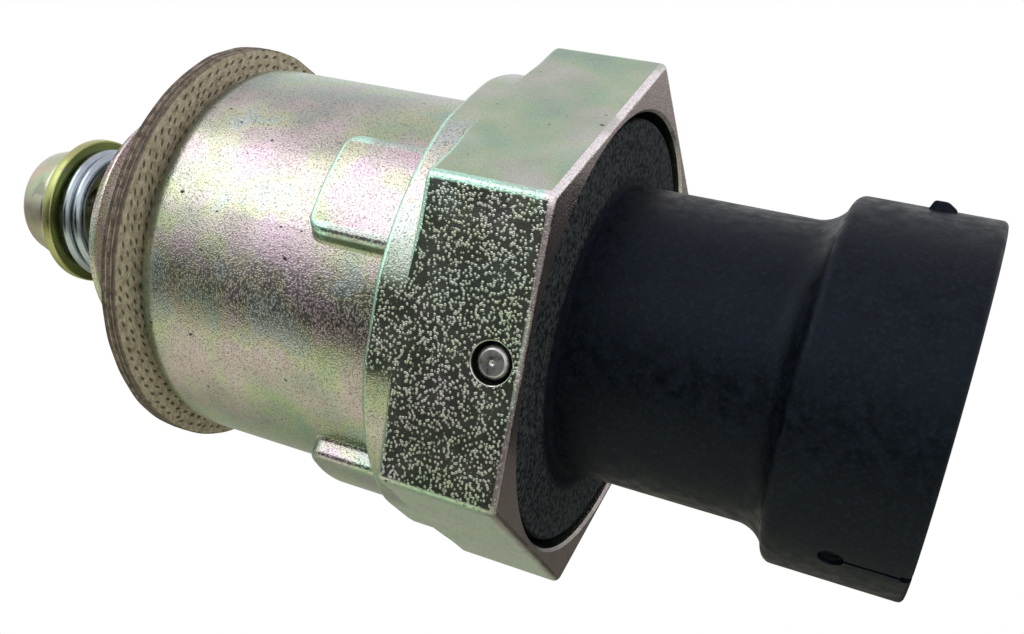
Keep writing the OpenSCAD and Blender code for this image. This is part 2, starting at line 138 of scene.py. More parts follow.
def block(low, high):
    """A box between two opposite corners."""
    bm = bmesh.new()
    bmesh.ops.create_cube(bm, size=1)
    for v in bm.verts:
        v.co = [a + (b - a) * (share + 0.5) for a, b, share in zip(low, high, v.co)]
    return bm


def bevel(bm, edges, offset, segments):
    """Rounds some edges of a shape."""
    bmesh.ops.bevel(
        bm, geom=edges, offset=offset, segments=segments, profile=0.5, affect="EDGES", material=-1,
    )


def join_flat_faces(bm, degrees):
    """Joins neighbouring faces that lie flat with one another."""
    limit = math.radians(degrees)
    bmesh.ops.dissolve_limit(bm, angle_limit=limit, verts=bm.verts, edges=bm.edges)


def rotate(bm, degrees, axis, verts=None):
    """Turns a shape, or some of its points, about an axis of the frame."""
    turn = Matrix.Rotation(math.radians(degrees), 3, axis)
    bmesh.ops.rotate(bm, verts=verts or bm.verts, cent=(0, 0, 0), matrix=turn)


def piece(name, bm, body, slot, nodes, sharp=32, weighted=False):
    """Finishes a solid as a piece in place of CAD nodes; it rides on a body if one is named."""
    bmesh.ops.remove_doubles(bm, verts=bm.verts, dist=1e-4)
    bmesh.ops.recalc_face_normals(bm, faces=bm.faces)
    bm.transform(Matrix.Scale(MM, 4))
    mesh = bpy.data.meshes.new(name)
    bm.to_mesh(mesh)
    bm.free()
    mesh.shade_smooth()
    mesh.set_sharp_from_angle(angle=math.radians(sharp))
    made = new_object(name, mesh)
    if weighted:
        made.modifiers.new("flat faces stay flat", "WEIGHTED_NORMAL").keep_sharp = True
    if body:
        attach(made, body)
    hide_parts(*nodes)
    made.data.materials.append(FINISHES[slot])
    print(f"{name}: {len(mesh.polygons)} faces")
    return made


# %% [markdown]
# ## Shader building blocks
# Real surfaces repeat a few effects: soft patches, fine grain, small pits, worn
# edges, lathe lines. Each one is a node group that is built once, has named inputs
# and outputs, and gives only a colour or a value. The finishes plug them together.

# %% Helpers for node trees
def fill(tree, inputs, values):
    """Fills inputs and links those given as sockets; a name is given with _ for a space."""
    for key, value in values.items():
        socket = inputs[key.replace("_", " ") if isinstance(key, str) else key]
        if isinstance(value, bpy.types.NodeSocket):
            tree.links.new(value, socket)
        else:
            socket.default_value = value


def put(tree, kind, values=None, **settings):
    """Adds a shader node with its settings and inputs."""
    node = tree.nodes.new("ShaderNode" + kind)
    for key, value in settings.items():
        setattr(node, key, value)
    fill(tree, node.inputs, values or {})
    return node


def calc(tree, operation, a, b=0.0, c=0.0):
    """One math node's result."""
    return put(tree, "Math", {0: a, 1: b, 2: c}, operation=operation).outputs[0]


def times(tree, a, b):
    """The product of two values."""
    return calc(tree, "MULTIPLY", a, b)


def blend(tree, factor, a, b, mode="MIX"):
    """Mixes two colours."""
    node = put(tree, "Mix", {0: factor, 6: a, 7: b}, data_type="RGBA", blend_type=mode)
    return node.outputs[2]


def split(tree, vector):
    """The x, y and z of a vector."""
    return put(tree, "SeparateXYZ", {0: vector}).outputs


def remap(tree, value, low, high, new_low=0.0, new_high=1.0):
    """Stretches a value from one range to another, smoothly at both ends."""
    values = {"Value": value, "From Min": low, "From Max": high, "To Min": new_low, "To Max": new_high}
    return put(tree, "MapRange", values, interpolation_type="SMOOTHSTEP").outputs[0]


def ramp(tree, value, stops):
    """A colour ramp through (position, colour) stops."""
    node = put(tree, "ValToRGB", {0: value})
    for _ in stops[2:]:
        node.color_ramp.elements.new(0.5)
    for element, (position, colour) in zip(node.color_ramp.elements, stops):
        element.position, element.color = position, (*colour, 1)
    return node.outputs[0]


def new_group(name, inputs, outputs):
    """An empty node group with named sockets; returns the tree, its inputs and a way out."""
    tree = bpy.data.node_groups.new(name, "ShaderNodeTree")
    for label, (kind, default) in inputs.items():
        socket = tree.interface.new_socket(label, in_out="INPUT", socket_type=f"NodeSocket{kind}")
        if default is not None:
            socket.default_value = default
    for label, kind in outputs.items():
        tree.interface.new_socket(label, in_out="OUTPUT", socket_type=f"NodeSocket{kind}")
    entry = tree.nodes.new("NodeGroupInput").outputs
    leave = tree.nodes.new("NodeGroupOutput").inputs
    return tree, entry, lambda label, socket: tree.links.new(socket, leave[label])


def use(tree, name, **values):
    """Places a group in a tree."""
    node = tree.nodes.new("ShaderNodeGroup")
    node.node_tree = bpy.data.node_groups[name]
    fill(tree, node.inputs, values)
    return node.outputs


# %% Group: place on the part in millimetres
tree, given, give = new_group(
    "Place", {}, {"Point": "Vector", "Radius": "Float", "Turn": "Float", "Height": "Float"},
)
coords = put(tree, "TexCoord").outputs["Object"]
point = put(tree, "VectorMath", {0: coords, "Scale": 1 / MM}, operation="SCALE").outputs[0]
x, y, z = split(tree, point)
give("Point", point)
give("Radius", calc(tree, "SQRT", calc(tree, "ADD", times(tree, x, x), times(tree, y, y))))
give("Turn", calc(tree, "ARCTAN2", y, x))
give("Height", z)

# %% Group: patches and grain
tree, given, give = new_group(
    "Patches",
    {"Point": ("Vector", None), "Patch size": ("Float", 8.0), "Grain size": ("Float", 0.2)},
    {"Broad": "Float", "Middle": "Float", "Grain": "Float", "Flecks": "Float"},
)
for label, size, factor, detail in (
    ("Broad", "Patch size", 1.0, 2), ("Middle", "Patch size", 4.0, 3), ("Grain", "Grain size", 1.0, 2),
):
    scale = calc(tree, "DIVIDE", factor, given[size])
    values = {"Vector": given["Point"], "Scale": scale, "Detail": detail, "Roughness": 0.6}
    give(label, put(tree, "TexNoise", values).outputs[0])
scale = calc(tree, "DIVIDE", 0.8, given["Grain size"])
cells = put(tree, "TexVoronoi", {"Vector": given["Point"], "Scale": scale, "Randomness": 1.0})
give("Flecks", split(tree, cells.outputs["Color"])[0])

# %% Group: small pits
tree, given, give = new_group(
    "Pits",
    {"Point": ("Vector", None), "Spacing": ("Float", 1.0), "Width": ("Float", 0.1), "Share": ("Float", 0.5)},
    {"Mask": "Float"},
)
scale = calc(tree, "DIVIDE", 1.0, given["Spacing"])
warp = put(tree, "TexNoise", {"Vector": given["Point"], "Scale": 5.0, "Detail": 2}).outputs[1]
bent = put(tree, "VectorMath", {0: warp, 1: (0.16, 0.16, 0.16), 2: given["Point"]}, operation="MULTIPLY_ADD")
cells = put(tree, "TexVoronoi", {"Vector": bent.outputs[0], "Scale": scale})
lottery = split(tree, cells.outputs["Color"])
reach = times(tree, given["Width"], calc(tree, "ADD", lottery[1], 0.35))
distance = times(tree, cells.outputs["Distance"], given["Spacing"])
inside = calc(tree, "SUBTRACT", 1.0, remap(tree, calc(tree, "DIVIDE", distance, reach), 0.35, 0.7))
give("Mask", times(tree, inside, calc(tree, "LESS_THAN", lottery[0], given["Share"])))

# %% Group: worn edges, also used for painted edge highlights
tree, given, give = new_group(
    "Edges",
    {"Point": ("Vector", None), "Radius": ("Float", 0.3), "Breakup": ("Float", 0.5)},
    {"Mask": "Float"},
)
soft = put(tree, "Bevel", {"Radius": times(tree, given["Radius"], MM)}, samples=4).outputs[0]
true = put(tree, "NewGeometry").outputs["Normal"]
along = put(tree, "VectorMath", {0: soft, 1: true}, operation="DOT_PRODUCT").outputs["Value"]
bend = remap(tree, calc(tree, "SUBTRACT", 1.0, along), 0.01, 0.14)
noise = put(tree, "TexNoise", {"Vector": given["Point"], "Scale": 2.5, "Detail": 4}).outputs[0]
kept = times(tree, given["Breakup"], 0.7)
broken = remap(tree, noise, kept, calc(tree, "ADD", given["Breakup"], 0.1))
give("Mask", times(tree, bend, broken))

# %% Group: lathe lines round the axis
tree, given, give = new_group(
    "Lathe lines",
    {
        "Radius": ("Float", 0.0), "Height": ("Float", 0.0), "Turn": ("Float", 0.0),
        "Line width": ("Float", 0.1),
    },
    {"Lines": "Float"},
)
swing = times(tree, calc(tree, "SINE", given["Turn"]), 0.05)
spot = put(tree, "CombineXYZ", {0: given["Radius"], 1: given["Height"], 2: swing}).outputs[0]
scale = calc(tree, "DIVIDE", 1.0, given["Line width"])
give("Lines", put(tree, "TexNoise", {"Vector": spot, "Scale": scale, "Detail": 3}).outputs[0])

# %% Group: cast grain
tree, given, give = new_group(
    "Cast grain", {"Point": ("Vector", None), "Cell": ("Float", 0.2), "Steepness": ("Float", 4.4)},
    {"Bumps": "Float", "Fine": "Float", "Specks": "Float"},
)
scale = calc(tree, "DIVIDE", 1.0, given["Cell"])
far = put(tree, "TexVoronoi", {"Vector": given["Point"], "Scale": scale}).outputs["Distance"]
values = {"Vector": given["Point"], "Scale": times(tree, scale, 1.3), "Detail": 2}
fine = put(tree, "TexNoise", values).outputs[0]
fall = times(tree, times(tree, far, far), given["Steepness"])
give("Bumps", calc(tree, "MAXIMUM", calc(tree, "SUBTRACT", 1.0, fall), 0.0))
give("Fine", fine)
give("Specks", remap(tree, fine, 0.46, 0.36))

# %% Group: flats of the hexagon
HEX_FLAT, COLLAR_FRONT, HEX_REAR = 16.0, 21.1, 31.2
tree, given, give = new_group("Flats", {"Point": ("Vector", None)}, {"Mask": "Float"})
reaches = []
for degrees in (30, 90, 150):
    normal = (math.cos(math.radians(degrees)), math.sin(math.radians(degrees)), 0)
    reach = put(tree, "VectorMath", {0: given["Point"], 1: normal}, operation="DOT_PRODUCT").outputs["Value"]
    reaches.append(calc(tree, "ABSOLUTE", reach))
reach = calc(tree, "MAXIMUM", calc(tree, "MAXIMUM", reaches[0], reaches[1]), reaches[2])
height = split(tree, given["Point"])[2]
on_flat = remap(tree, reach, HEX_FLAT - 0.2, HEX_FLAT - 0.03)
give("Mask", times(tree, on_flat, remap(tree, height, COLLAR_FRONT - 0.2, COLLAR_FRONT + 0.2)))

# %% Group: colours of a chromate film
tree, given, give = new_group("Film", {"Thickness": ("Float", 0.5)}, {"Colour": "Color"})
give("Colour", ramp(tree, given["Thickness"], [
    (0.00, (0.29, 0.38, 0.32)), (0.20, (0.37, 0.46, 0.37)), (0.33, (0.46, 0.50, 0.40)),
    (0.45, (0.55, 0.54, 0.48)), (0.56, (0.61, 0.57, 0.56)), (0.66, (0.64, 0.59, 0.61)),
    (0.78, (0.62, 0.63, 0.50)), (0.90, (0.56, 0.50, 0.55)), (1.00, (0.44, 0.54, 0.50)),
]))

# %% [markdown]
# ## Finishes
# One finish for each material slot of the record. A finish starts with an empty
# tree, asks where the point lies on the part, and sets the Principled shader from
# the groups, so two parts in the same finish still get their own patches.

# %% Helpers for finishes
FINISHES = {}


def new_finish(slot):
    """An empty material with its shader, and the place group already in the tree."""
    material = bpy.data.materials.new(slot)
    material.use_nodes = True
    tree = material.node_tree
    FINISHES[slot] = material
    return tree, tree.nodes["Principled BSDF"], use(tree, "Place")


def plug(tree, shader, **values):
    """Sets the shader's inputs."""
    fill(tree, shader.inputs, values)


def bump(tree, height, strength, depth):
    """Turns a height into a normal; depth is in millimetres."""
    values = {"Height": height, "Strength": strength, "Distance": depth * MM}
    return put(tree, "Bump", values).outputs[0]


def lathe_lines(tree, place, width):
    """The lathe lines at a place on a turned part."""
    spot = {label: place[label] for label in ("Radius", "Height", "Turn")}
    return use(tree, "Lathe lines", Line_width=width, **spot)["Lines"]


# %% Finish: zinc plated casting
PIN_X, PIN_Z, PIN_R, RECESS_R = 0.55, 29.3, 1.0, 1.25
# The second colour is a painted white highlight for the top of the rear rim.
MINT, REAR_RIM_HIGHLIGHT = (0.52, 0.84, 0.69, 1), (0.92, 0.86, 0.88, 1)
tree, shader, place = new_finish("zinc_casting")
flat = use(tree, "Flats", Point=place["Point"])["Mask"]
noise = use(tree, "Patches", Point=place["Point"], Patch_size=8.0, Grain_size=0.12)
skin = use(tree, "Cast grain", Point=place["Point"], Cell=0.14, Steepness=4.4)
shot = use(tree, "Cast grain", Point=place["Point"], Cell=0.2, Steepness=6.5)
facing = put(tree, "LayerWeight", {"Blend": 0.5}).outputs["Facing"]
thick = calc(tree, "SUBTRACT", 0.64, times(tree, facing, 0.62))
thick = calc(tree, "MULTIPLY_ADD", calc(tree, "SUBTRACT", noise["Broad"], 0.5), 0.9, thick)
thick = calc(tree, "MULTIPLY_ADD", calc(tree, "SUBTRACT", noise["Middle"], 0.5), 0.25, thick)
film = use(tree, "Film", Thickness=thick)["Colour"]
stain = use(tree, "Patches", Point=place["Point"], Patch_size=4.5, Grain_size=0.3)["Broad"]
tint = ramp(tree, stain, [
    (0.38, (1.00, 0.84, 0.98)), (0.46, (0.99, 0.92, 0.98)),
    (0.54, (0.96, 1.00, 0.78)), (0.62, (0.82, 0.99, 0.95)),
])
film = blend(tree, calc(tree, "MULTIPLY_ADD", flat, -0.45, 0.85), film, tint, "MULTIPLY")
sage = blend(tree, 1.0, film, (0.84, 1.0, 0.88, 1), "MULTIPLY")
film = blend(tree, times(tree, flat, 0.8), film, sage)
speck_depth = calc(tree, "MULTIPLY_ADD", flat, -0.35, 0.52)
grey = calc(tree, "SUBTRACT", 1.0, times(tree, skin["Specks"], speck_depth))
colour = blend(tree, 1.0, film, put(tree, "CombineColor", {0: grey, 1: grey, 2: grey}).outputs[0], "MULTIPLY")
stretched = put(tree, "VectorMath", {0: place["Point"], 1: (1, 1, 0.65)}, operation="MULTIPLY").outputs[0]
pits = use(tree, "Pits", Point=stretched, Spacing=0.65, Width=0.13, Share=0.4)["Mask"]
colour = blend(tree, pits, colour, (0.03, 0.026, 0.022, 1))
edge = put(tree, "Attribute", attribute_name="edge").outputs["Fac"]
edge_wear_and_highlight = times(tree, edge, remap(tree, noise["Grain"], 0.34, 0.50, 0.35, 1.0))
edge_wear_and_highlight = times(tree, edge_wear_and_highlight, remap(tree, stain, 0.42, 0.52, 0.3, 1.0))
across, along = split(tree, place["Point"])[:2]
# Painted highlight: the mint on the edges is kept mostly to the near upper side, toward the lamp.
highlight_side = times(
    tree, remap(tree, along, -6.0, -10.0, 0.1, 1.0), remap(tree, across, -3.0, 6.0, 1.0, 0.25),
)
rear = remap(tree, place["Height"], HEX_REAR - 1.0, HEX_REAR - 0.5)
rear_face = times(
    tree, remap(tree, place["Height"], HEX_REAR - 0.06, HEX_REAR - 0.01),
    remap(tree, noise["Grain"], 0.30, 0.55, 0.5, 1.0),
)
colour = blend(tree, rear_face, colour, (0.62, 0.49, 0.47, 1))
edge_wear_and_highlight = times(tree, edge_wear_and_highlight, calc(tree, "MAXIMUM", highlight_side, rear))
# Painted highlight and shade on the rear rim: near white along its top, a dark mauve grey further down.
rim = blend(tree, rear, MINT, blend(tree, remap(tree, across, -9.5, -8.0), REAR_RIM_HIGHLIGHT, (0.30, 0.25, 0.26, 1)))
colour = blend(tree, edge_wear_and_highlight, colour, rim)
skin_height = calc(tree, "MULTIPLY_ADD", skin["Bumps"], 1.3, skin["Fine"])
shot_height = calc(tree, "MULTIPLY_ADD", shot["Bumps"], 2.9, skin["Fine"])
height = blend(tree, flat, skin_height, shot_height)
off_x = calc(tree, "SUBTRACT", across, PIN_X)
off_z = calc(tree, "SUBTRACT", place["Height"], PIN_Z)
off_pin = calc(tree, "SQRT", calc(tree, "MULTIPLY_ADD", off_x, off_x, times(tree, off_z, off_z)))
# Painted shadow: the ring gap round the pin, in its recess, is coloured near black.
pin_gap_shadow = remap(tree, off_pin, RECESS_R + 0.06, RECESS_R - 0.02)
pin_gap_shadow = times(tree, pin_gap_shadow, remap(tree, along, 0.0, -1.0))
colour = blend(tree, pin_gap_shadow, colour, (0.010, 0.010, 0.010, 1))
height = calc(tree, "SUBTRACT", height, times(tree, pits, 2.0))
rough = remap(tree, noise["Middle"], 0.3, 0.7, 0.19, 0.27)
plug(
    tree, shader, Base_Color=colour, Metallic=0.95,
    Roughness=calc(tree, "SUBTRACT", rough, times(tree, flat, 0.06)),
    Normal=bump(tree, height, 1.0, 0.009),
)

# %% Finish: zinc plated pintle
tree, shader, place = new_finish("pintle_zinc")
noise = use(tree, "Patches", Point=place["Point"], Patch_size=3.6, Grain_size=0.12)
lines = lathe_lines(tree, place, 0.12)
facing = put(tree, "LayerWeight", {"Blend": 0.5}).outputs["Facing"]
thick = calc(tree, "MULTIPLY_ADD", calc(tree, "SUBTRACT", noise["Broad"], 0.5), 1.1, 0.46)
thick = calc(tree, "SUBTRACT", thick, times(tree, facing, 0.18))
film = use(tree, "Film", Thickness=thick)["Colour"]
olive = calc(tree, "MULTIPLY_ADD", remap(tree, place["Radius"], 5.0, 5.3), 0.55, 0.25)
colour = blend(tree, olive, film, (0.36, 0.39, 0.10, 1))
rust = use(tree, "Patches", Point=place["Point"], Patch_size=2.2, Grain_size=0.3)["Broad"]
cone = remap(tree, place["Radius"], 5.15, 4.95)
REDDISH, SMUDGE = (0.56, 0.37, 0.30, 1), (0.16, 0.16, 0.15, 1)
for low, high, depth, paint in ((0.42, 0.66, 0.55, REDDISH), (0.40, 0.30, 0.5, SMUDGE)):
    share = times(tree, remap(tree, rust, low, high), times(tree, cone, depth))
    colour = blend(tree, share, colour, paint)
# Painted shade: faces turned along +Z, such as the back of the flange that faces the housing, are painted a
# dark olive.
up = split(tree, put(tree, "NewGeometry").outputs["Normal"])[2]
colour = blend(tree, times(tree, remap(tree, up, 0.6, 0.9), 0.7), colour, (0.12, 0.16, 0.03, 1))
dull = remap(tree, noise["Middle"], 0.62, 0.72)
colour = blend(tree, times(tree, dull, 0.6), colour, (0.22, 0.22, 0.20, 1))
# Painted highlight: the rounded edges get a bright yellow, over the worn film.
edge_wear_and_highlight = use(tree, "Edges", Point=place["Point"], Radius=0.2, Breakup=0.2)["Mask"]
colour = blend(tree, edge_wear_and_highlight, colour, (0.90, 0.88, 0.36, 1))
plug(
    tree, shader, Base_Color=colour, Metallic=0.95,
    Roughness=remap(tree, noise["Middle"], 0.3, 0.7, 0.20, 0.32),
    Normal=bump(tree, calc(tree, "MULTIPLY_ADD", noise["Grain"], 0.5, lines), 0.18, 0.03),
)

# %% Finish: pressed fibre gasket
tree, given, give = new_group(
    "Perforations",
    {"Radius": ("Float", 0.0), "Turn": ("Float", 0.0), "Pitch": ("Float", 0.5)},
    {"Mask": "Float"},
)
around = calc(tree, "DIVIDE", times(tree, given["Turn"], 14.6), given["Pitch"])
across = calc(tree, "DIVIDE", times(tree, given["Radius"], 1.45), given["Pitch"])
skew = calc(tree, "MULTIPLY_ADD", across, 0.8, around)
spot = put(tree, "CombineXYZ", {0: skew, 1: across}).outputs[0]
cells = put(tree, "TexVoronoi", {"Vector": spot, "Scale": 1.0, "Randomness": 0.3}, voronoi_dimensions="2D")
give("Mask", calc(tree, "SUBTRACT", 1.0, remap(tree, cells.outputs["Distance"], 0.10, 0.28)))

tree, shader, place = new_finish("fibre")
noise = use(tree, "Patches", Point=place["Point"], Patch_size=2.2, Grain_size=0.16)
strands = lathe_lines(tree, place, 0.16)
colour = ramp(tree, noise["Middle"], [
    (0.28, (0.230, 0.190, 0.120)), (0.48, (0.430, 0.375, 0.255)), (0.72, (0.600, 0.540, 0.400)),
])
colour = blend(tree, remap(tree, noise["Flecks"], 0.80, 1.0, 0.0, 0.5), colour, (0.42, 0.37, 0.30, 1))
up = split(tree, put(tree, "NewGeometry").outputs["Normal"])[2]
face = remap(tree, calc(tree, "ABSOLUTE", up), 0.6, 0.9)
side_colour = ramp(tree, strands, [
    (0.34, (0.020, 0.012, 0.008)), (0.5, (0.085, 0.058, 0.038)), (0.66, (0.26, 0.21, 0.15)),
])
crinkle = times(tree, remap(tree, noise["Middle"], 0.54, 0.44), 0.75)
side_colour = blend(tree, crinkle, side_colour, (0.030, 0.019, 0.013, 1))
colour = blend(tree, face, side_colour, colour)
holes = use(tree, "Perforations", Radius=place["Radius"], Turn=place["Turn"], Pitch=0.95)["Mask"]
holes = times(tree, holes, face)
colour = blend(tree, times(tree, holes, 0.8), colour, (0.050, 0.034, 0.020, 1))
height = calc(tree, "MULTIPLY_ADD", strands, calc(tree, "SUBTRACT", 1.2, face), noise["Grain"])
height = calc(tree, "MULTIPLY_ADD", noise["Middle"], 1.6, height)
height = calc(tree, "SUBTRACT", height, holes)
plug(
    tree, shader, Base_Color=colour, Metallic=0.0, Roughness=0.62,
    Normal=bump(tree, height, 0.9, 0.12),
)

# %% Finish: bright metals
BRIGHT = {
    "steel": ((0.62, 0.62, 0.61), 0.24, 0.09),
    "spring_steel": ((0.40, 0.46, 0.51), 0.11, 0.05),
    "sheet_steel": ((0.56, 0.60, 0.64), 0.30, 0.20),
    "tin_plate": ((0.72, 0.60, 0.34), 0.26, 0.12),
    "bronze": ((0.48, 0.30, 0.14), 0.42, 0.15),
}
for slot, (base, rough, line) in BRIGHT.items():
    tree, shader, place = new_finish(slot)
    noise = use(tree, "Patches", Point=place["Point"], Patch_size=2.5, Grain_size=0.1)
    lines = lathe_lines(tree, place, line)
    dark = tuple((0.85 if slot == "spring_steel" else 0.55) * c for c in base)
    colour = ramp(tree, noise["Middle"], [(0.30, dark), (0.55, base)])
    pits = use(tree, "Pits", Point=place["Point"], Spacing=0.9, Width=0.08, Share=0.3)["Mask"]
    colour = blend(tree, times(tree, pits, 0.7), colour, (0.06, 0.055, 0.05, 1))
    edge_wear_and_highlight = use(tree, "Edges", Point=place["Point"], Radius=0.12, Breakup=0.2)["Mask"]
    colour = blend(tree, edge_wear_and_highlight, colour, (0.92, 0.92, 0.90, 1))
    plug(
        tree, shader, Base_Color=colour, Metallic=0.98,
        Roughness=remap(tree, noise["Middle"], 0.3, 0.7, rough, rough + 0.12),
        Normal=bump(tree, calc(tree, "MULTIPLY_ADD", noise["Grain"], 0.4, lines), 0.15, 0.03),
    )

# %% Finish: plastics, rubber, magnet and winding
MOULDED = {
    "black_plastic": ((0.001, 0.0015, 0.0025), (0.004, 0.006, 0.010), 0.36, 0.14, 0.25),
    "light_plastic": ((0.60, 0.56, 0.46), (0.74, 0.71, 0.62), 0.42, 0.20, 0.12),
    "ferrite": ((0.030, 0.030, 0.032), (0.060, 0.060, 0.062), 0.50, 0.10, 0.30),
    "copper_wire": ((0.30, 0.090, 0.025), (0.52, 0.20, 0.07), 0.22, 0.30, 0.10),
    "seal_rubber": ((0.060, 0.026, 0.014), (0.110, 0.050, 0.028), 0.40, 0.18, 0.15),
}
SATIN = (0.4, (1, 1, 1, 1))
GLOSS = {"black_plastic": (0.16, (0.62, 0.80, 1.0, 1))}
FLANGE_TOP = 30.9
for slot, (dark, pale, rough, grain, relief) in MOULDED.items():
    tree, shader, place = new_finish(slot)
    noise = use(tree, "Patches", Point=place["Point"], Patch_size=4.0, Grain_size=grain)
    colour = ramp(tree, noise["Middle"], [(0.32, dark), (0.68, pale)])
    scuff = use(tree, "Pits", Point=place["Point"], Spacing=2.2, Width=0.08, Share=0.35)["Mask"]
    chalk = tuple(min(1.0, 5 * c + 0.06) for c in pale)
    colour = blend(tree, times(tree, scuff, 0.8), colour, (*chalk, 1))
    height = calc(tree, "MULTIPLY_ADD", noise["Broad"], 0.5, noise["Grain"])
    roughness = remap(tree, noise["Middle"], 0.3, 0.7, rough, rough + 0.20)
    if slot == "black_plastic":
        near_base = remap(tree, place["Height"], FLANGE_TOP + 0.8, FLANGE_TOP + 0.4)
        roughness = calc(tree, "MULTIPLY_ADD", near_base, 0.4, roughness)
        on_disc = times(
            tree, remap(tree, place["Height"], FLANGE_TOP - 0.4, FLANGE_TOP - 0.1),
            remap(tree, place["Height"], FLANGE_TOP + 0.3, FLANGE_TOP + 0.1),
        )
        on_disc = times(tree, on_disc, remap(tree, place["Radius"], 10.5, 11.2))
        rough_cast = use(tree, "Patches", Point=place["Point"], Patch_size=1.1, Grain_size=0.3)
        speckle = remap(tree, rough_cast["Middle"], 0.48, 0.66, 0.0, 0.4)
        colour = blend(tree, speckle, colour, (0.010, 0.016, 0.028, 1))
        dusty = times(tree, on_disc, remap(tree, rough_cast["Middle"], 0.35, 0.65))
        colour = blend(tree, dusty, colour, (0.050, 0.057, 0.056, 1))
        height = calc(tree, "MULTIPLY_ADD", times(tree, on_disc, rough_cast["Grain"]), 5.0, height)
    else:
        edge_wear_and_highlight = use(tree, "Edges", Point=place["Point"], Radius=0.25, Breakup=0.45)["Mask"]
        colour = blend(tree, times(tree, edge_wear_and_highlight, 0.2), colour, (*chalk, 1))
    shine, shine_tint = GLOSS.get(slot, SATIN)
    plug(
        tree, shader, Base_Color=colour, Metallic=0.0, Roughness=roughness,
        Specular_IOR_Level=shine, Specular_Tint=shine_tint, Normal=bump(tree, height, relief, 0.05),
    )
print("finishes:", ", ".join(FINISHES))

# %% [markdown]
# ## Housing
# The real housing is one zinc plated casting: threaded nose, round barrel with four
# pads, and a hexagon with a collar in front. Cast edges are never sharp, so each
# form is rounded before it is joined to the next with an exact Boolean. The thread
# is a tooth outline spun with a rise of one pitch, as a die would cut it.

# %% Threaded nose and barrel
THREAD_R, THREAD_ROOT, PITCH = 10.0, 9.12, 1.5
NOSE_END, NOSE_RIM_R, THREAD_END = -6.6, 9.35, 0.5
BARREL_R, BARREL_FRONT, BARREL_EDGE = 13.9, 1.2, 2.2
HEX_FRONT = 23.2

tooth = [
    (THREAD_ROOT, 0.0), (THREAD_ROOT, 0.10), (THREAD_ROOT + 0.10, 0.17), (THREAD_R - 0.08, 0.42),
    (THREAD_R, 0.46), (THREAD_R, 0.57), (THREAD_R - 0.08, 0.61), (THREAD_ROOT + 0.10, 0.86),
    (THREAD_ROOT, 0.93),
]
turns = int((THREAD_END - NOSE_END) / PITCH) + 3
start_z = NOSE_END - 1.5 * PITCH
teeth = [(r, start_z + PITCH * (k + share)) for k in range(turns) for r, share in tooth]
housing = turned(bmesh.new(), teeth, rise=PITCH)
for v in housing.verts:
    angle, reach = math.atan2(v.co.y, v.co.x), math.hypot(v.co.x, v.co.y)
    z = min(max(v.co.z, NOSE_END), THREAD_END)
    reach = min(reach, NOSE_RIM_R + (z - NOSE_END), THREAD_ROOT + 1.2 * (THREAD_END - z))
    if z == NOSE_END:
        reach = NOSE_RIM_R
    v.co = (reach * math.cos(angle), reach * math.sin(angle), z)
turned(housing, [(0, NOSE_END), (NOSE_RIM_R, NOSE_END)])
turned(housing, [(THREAD_ROOT, THREAD_END), (THREAD_ROOT, BARREL_FRONT)]
       + arc((BARREL_R - BARREL_EDGE, BARREL_FRONT + BARREL_EDGE), BARREL_EDGE, -90, 0, 8)
       + arc((BARREL_R + 0.4, COLLAR_FRONT - 0.3), 0.4, 180, 110, 4)
       + [(BARREL_R + 0.4, COLLAR_FRONT + 1), (0, COLLAR_FRONT + 1)])
bmesh.ops.remove_doubles(housing, verts=housing.verts, dist=1e-3)
bmesh.ops.dissolve_degenerate(housing, dist=1e-4, edges=housing.edges)
print("open edges on the nose and barrel:", sum(len(e.link_faces) != 2 for e in housing.edges))

# %% [markdown]
# The hexagon and its collar: an outline is spun, then every point moves to where
# the hexagon reaches at its angle. Where the flats lie inside the collar they cut
# it flat, and that leaves the short tongue in the middle of each flat.

# %% Hexagon and collar
HEX_CORNER_R, COLLAR_R = 0.8, 16.2
corner_middle = (HEX_FLAT - HEX_CORNER_R) / math.cos(math.radians(30))
corner_share = math.atan2(
    HEX_CORNER_R * math.sin(math.radians(30)),
    corner_middle + HEX_CORNER_R * math.cos(math.radians(30)),
)


def hex_reach(angle):
    """Distance from the axis to the rounded hexagon, in a direction in radians."""
    off = abs((angle + math.pi / 6) % (math.pi / 3) - math.pi / 6)
    if off < corner_share:
        side = corner_middle * math.sin(off)
        return corner_middle * math.cos(off) + math.sqrt(HEX_CORNER_R**2 - side**2)
    return HEX_FLAT / math.cos(math.pi / 6 - off)


def hex_outline(reach):
    """The outline of the collar and the hexagon where the hexagon reaches that far."""
    collar = min(COLLAR_R, reach)
    step = max(0.0, reach - collar)
    fillet, edge = min(0.7, 0.5 * step), min(0.45, 0.45 * step)
    return (
        [(0, COLLAR_FRONT)]
        + arc((collar - 0.4, COLLAR_FRONT + 0.4), 0.4, -90, 0, 4)
        + arc((collar + fillet, HEX_FRONT - fillet), fillet, 180, 90, 5)
        + arc((reach - edge, HEX_FRONT + edge), edge, -90, 0, 4)
        + arc((reach - 0.4, HEX_REAR - 0.4), 0.4, 0, 90, 4)
        + [(0, HEX_REAR)]
    )


SECTOR_STEPS = 28
hexagon = turned(bmesh.new(), [(1 + i, i) for i in range(len(hex_outline(20.0)))], steps=6 * SECTOR_STEPS)
for v in hexagon.verts:
    row = round(v.co.z)
    turn = math.atan2(v.co.y, v.co.x) / (math.pi / 3)
    sector = math.floor(turn + 0.5)
    share = 2 * (turn - sector)
    angle = (sector + 0.5 * math.copysign(abs(share) ** 1.7, share)) * math.pi / 3
    r, z = hex_outline(hex_reach(angle))[row]
    v.co = (r * math.cos(angle), r * math.sin(angle), z)
bmesh.ops.remove_doubles(hexagon, verts=hexagon.verts, dist=1e-3)
bmesh.ops.dissolve_degenerate(hexagon, dist=1e-4, edges=hexagon.edges)
print("open edges on the hexagon:", sum(len(e.link_faces) != 2 for e in hexagon.edges))
housing = boolean(housing, hexagon, "UNION")

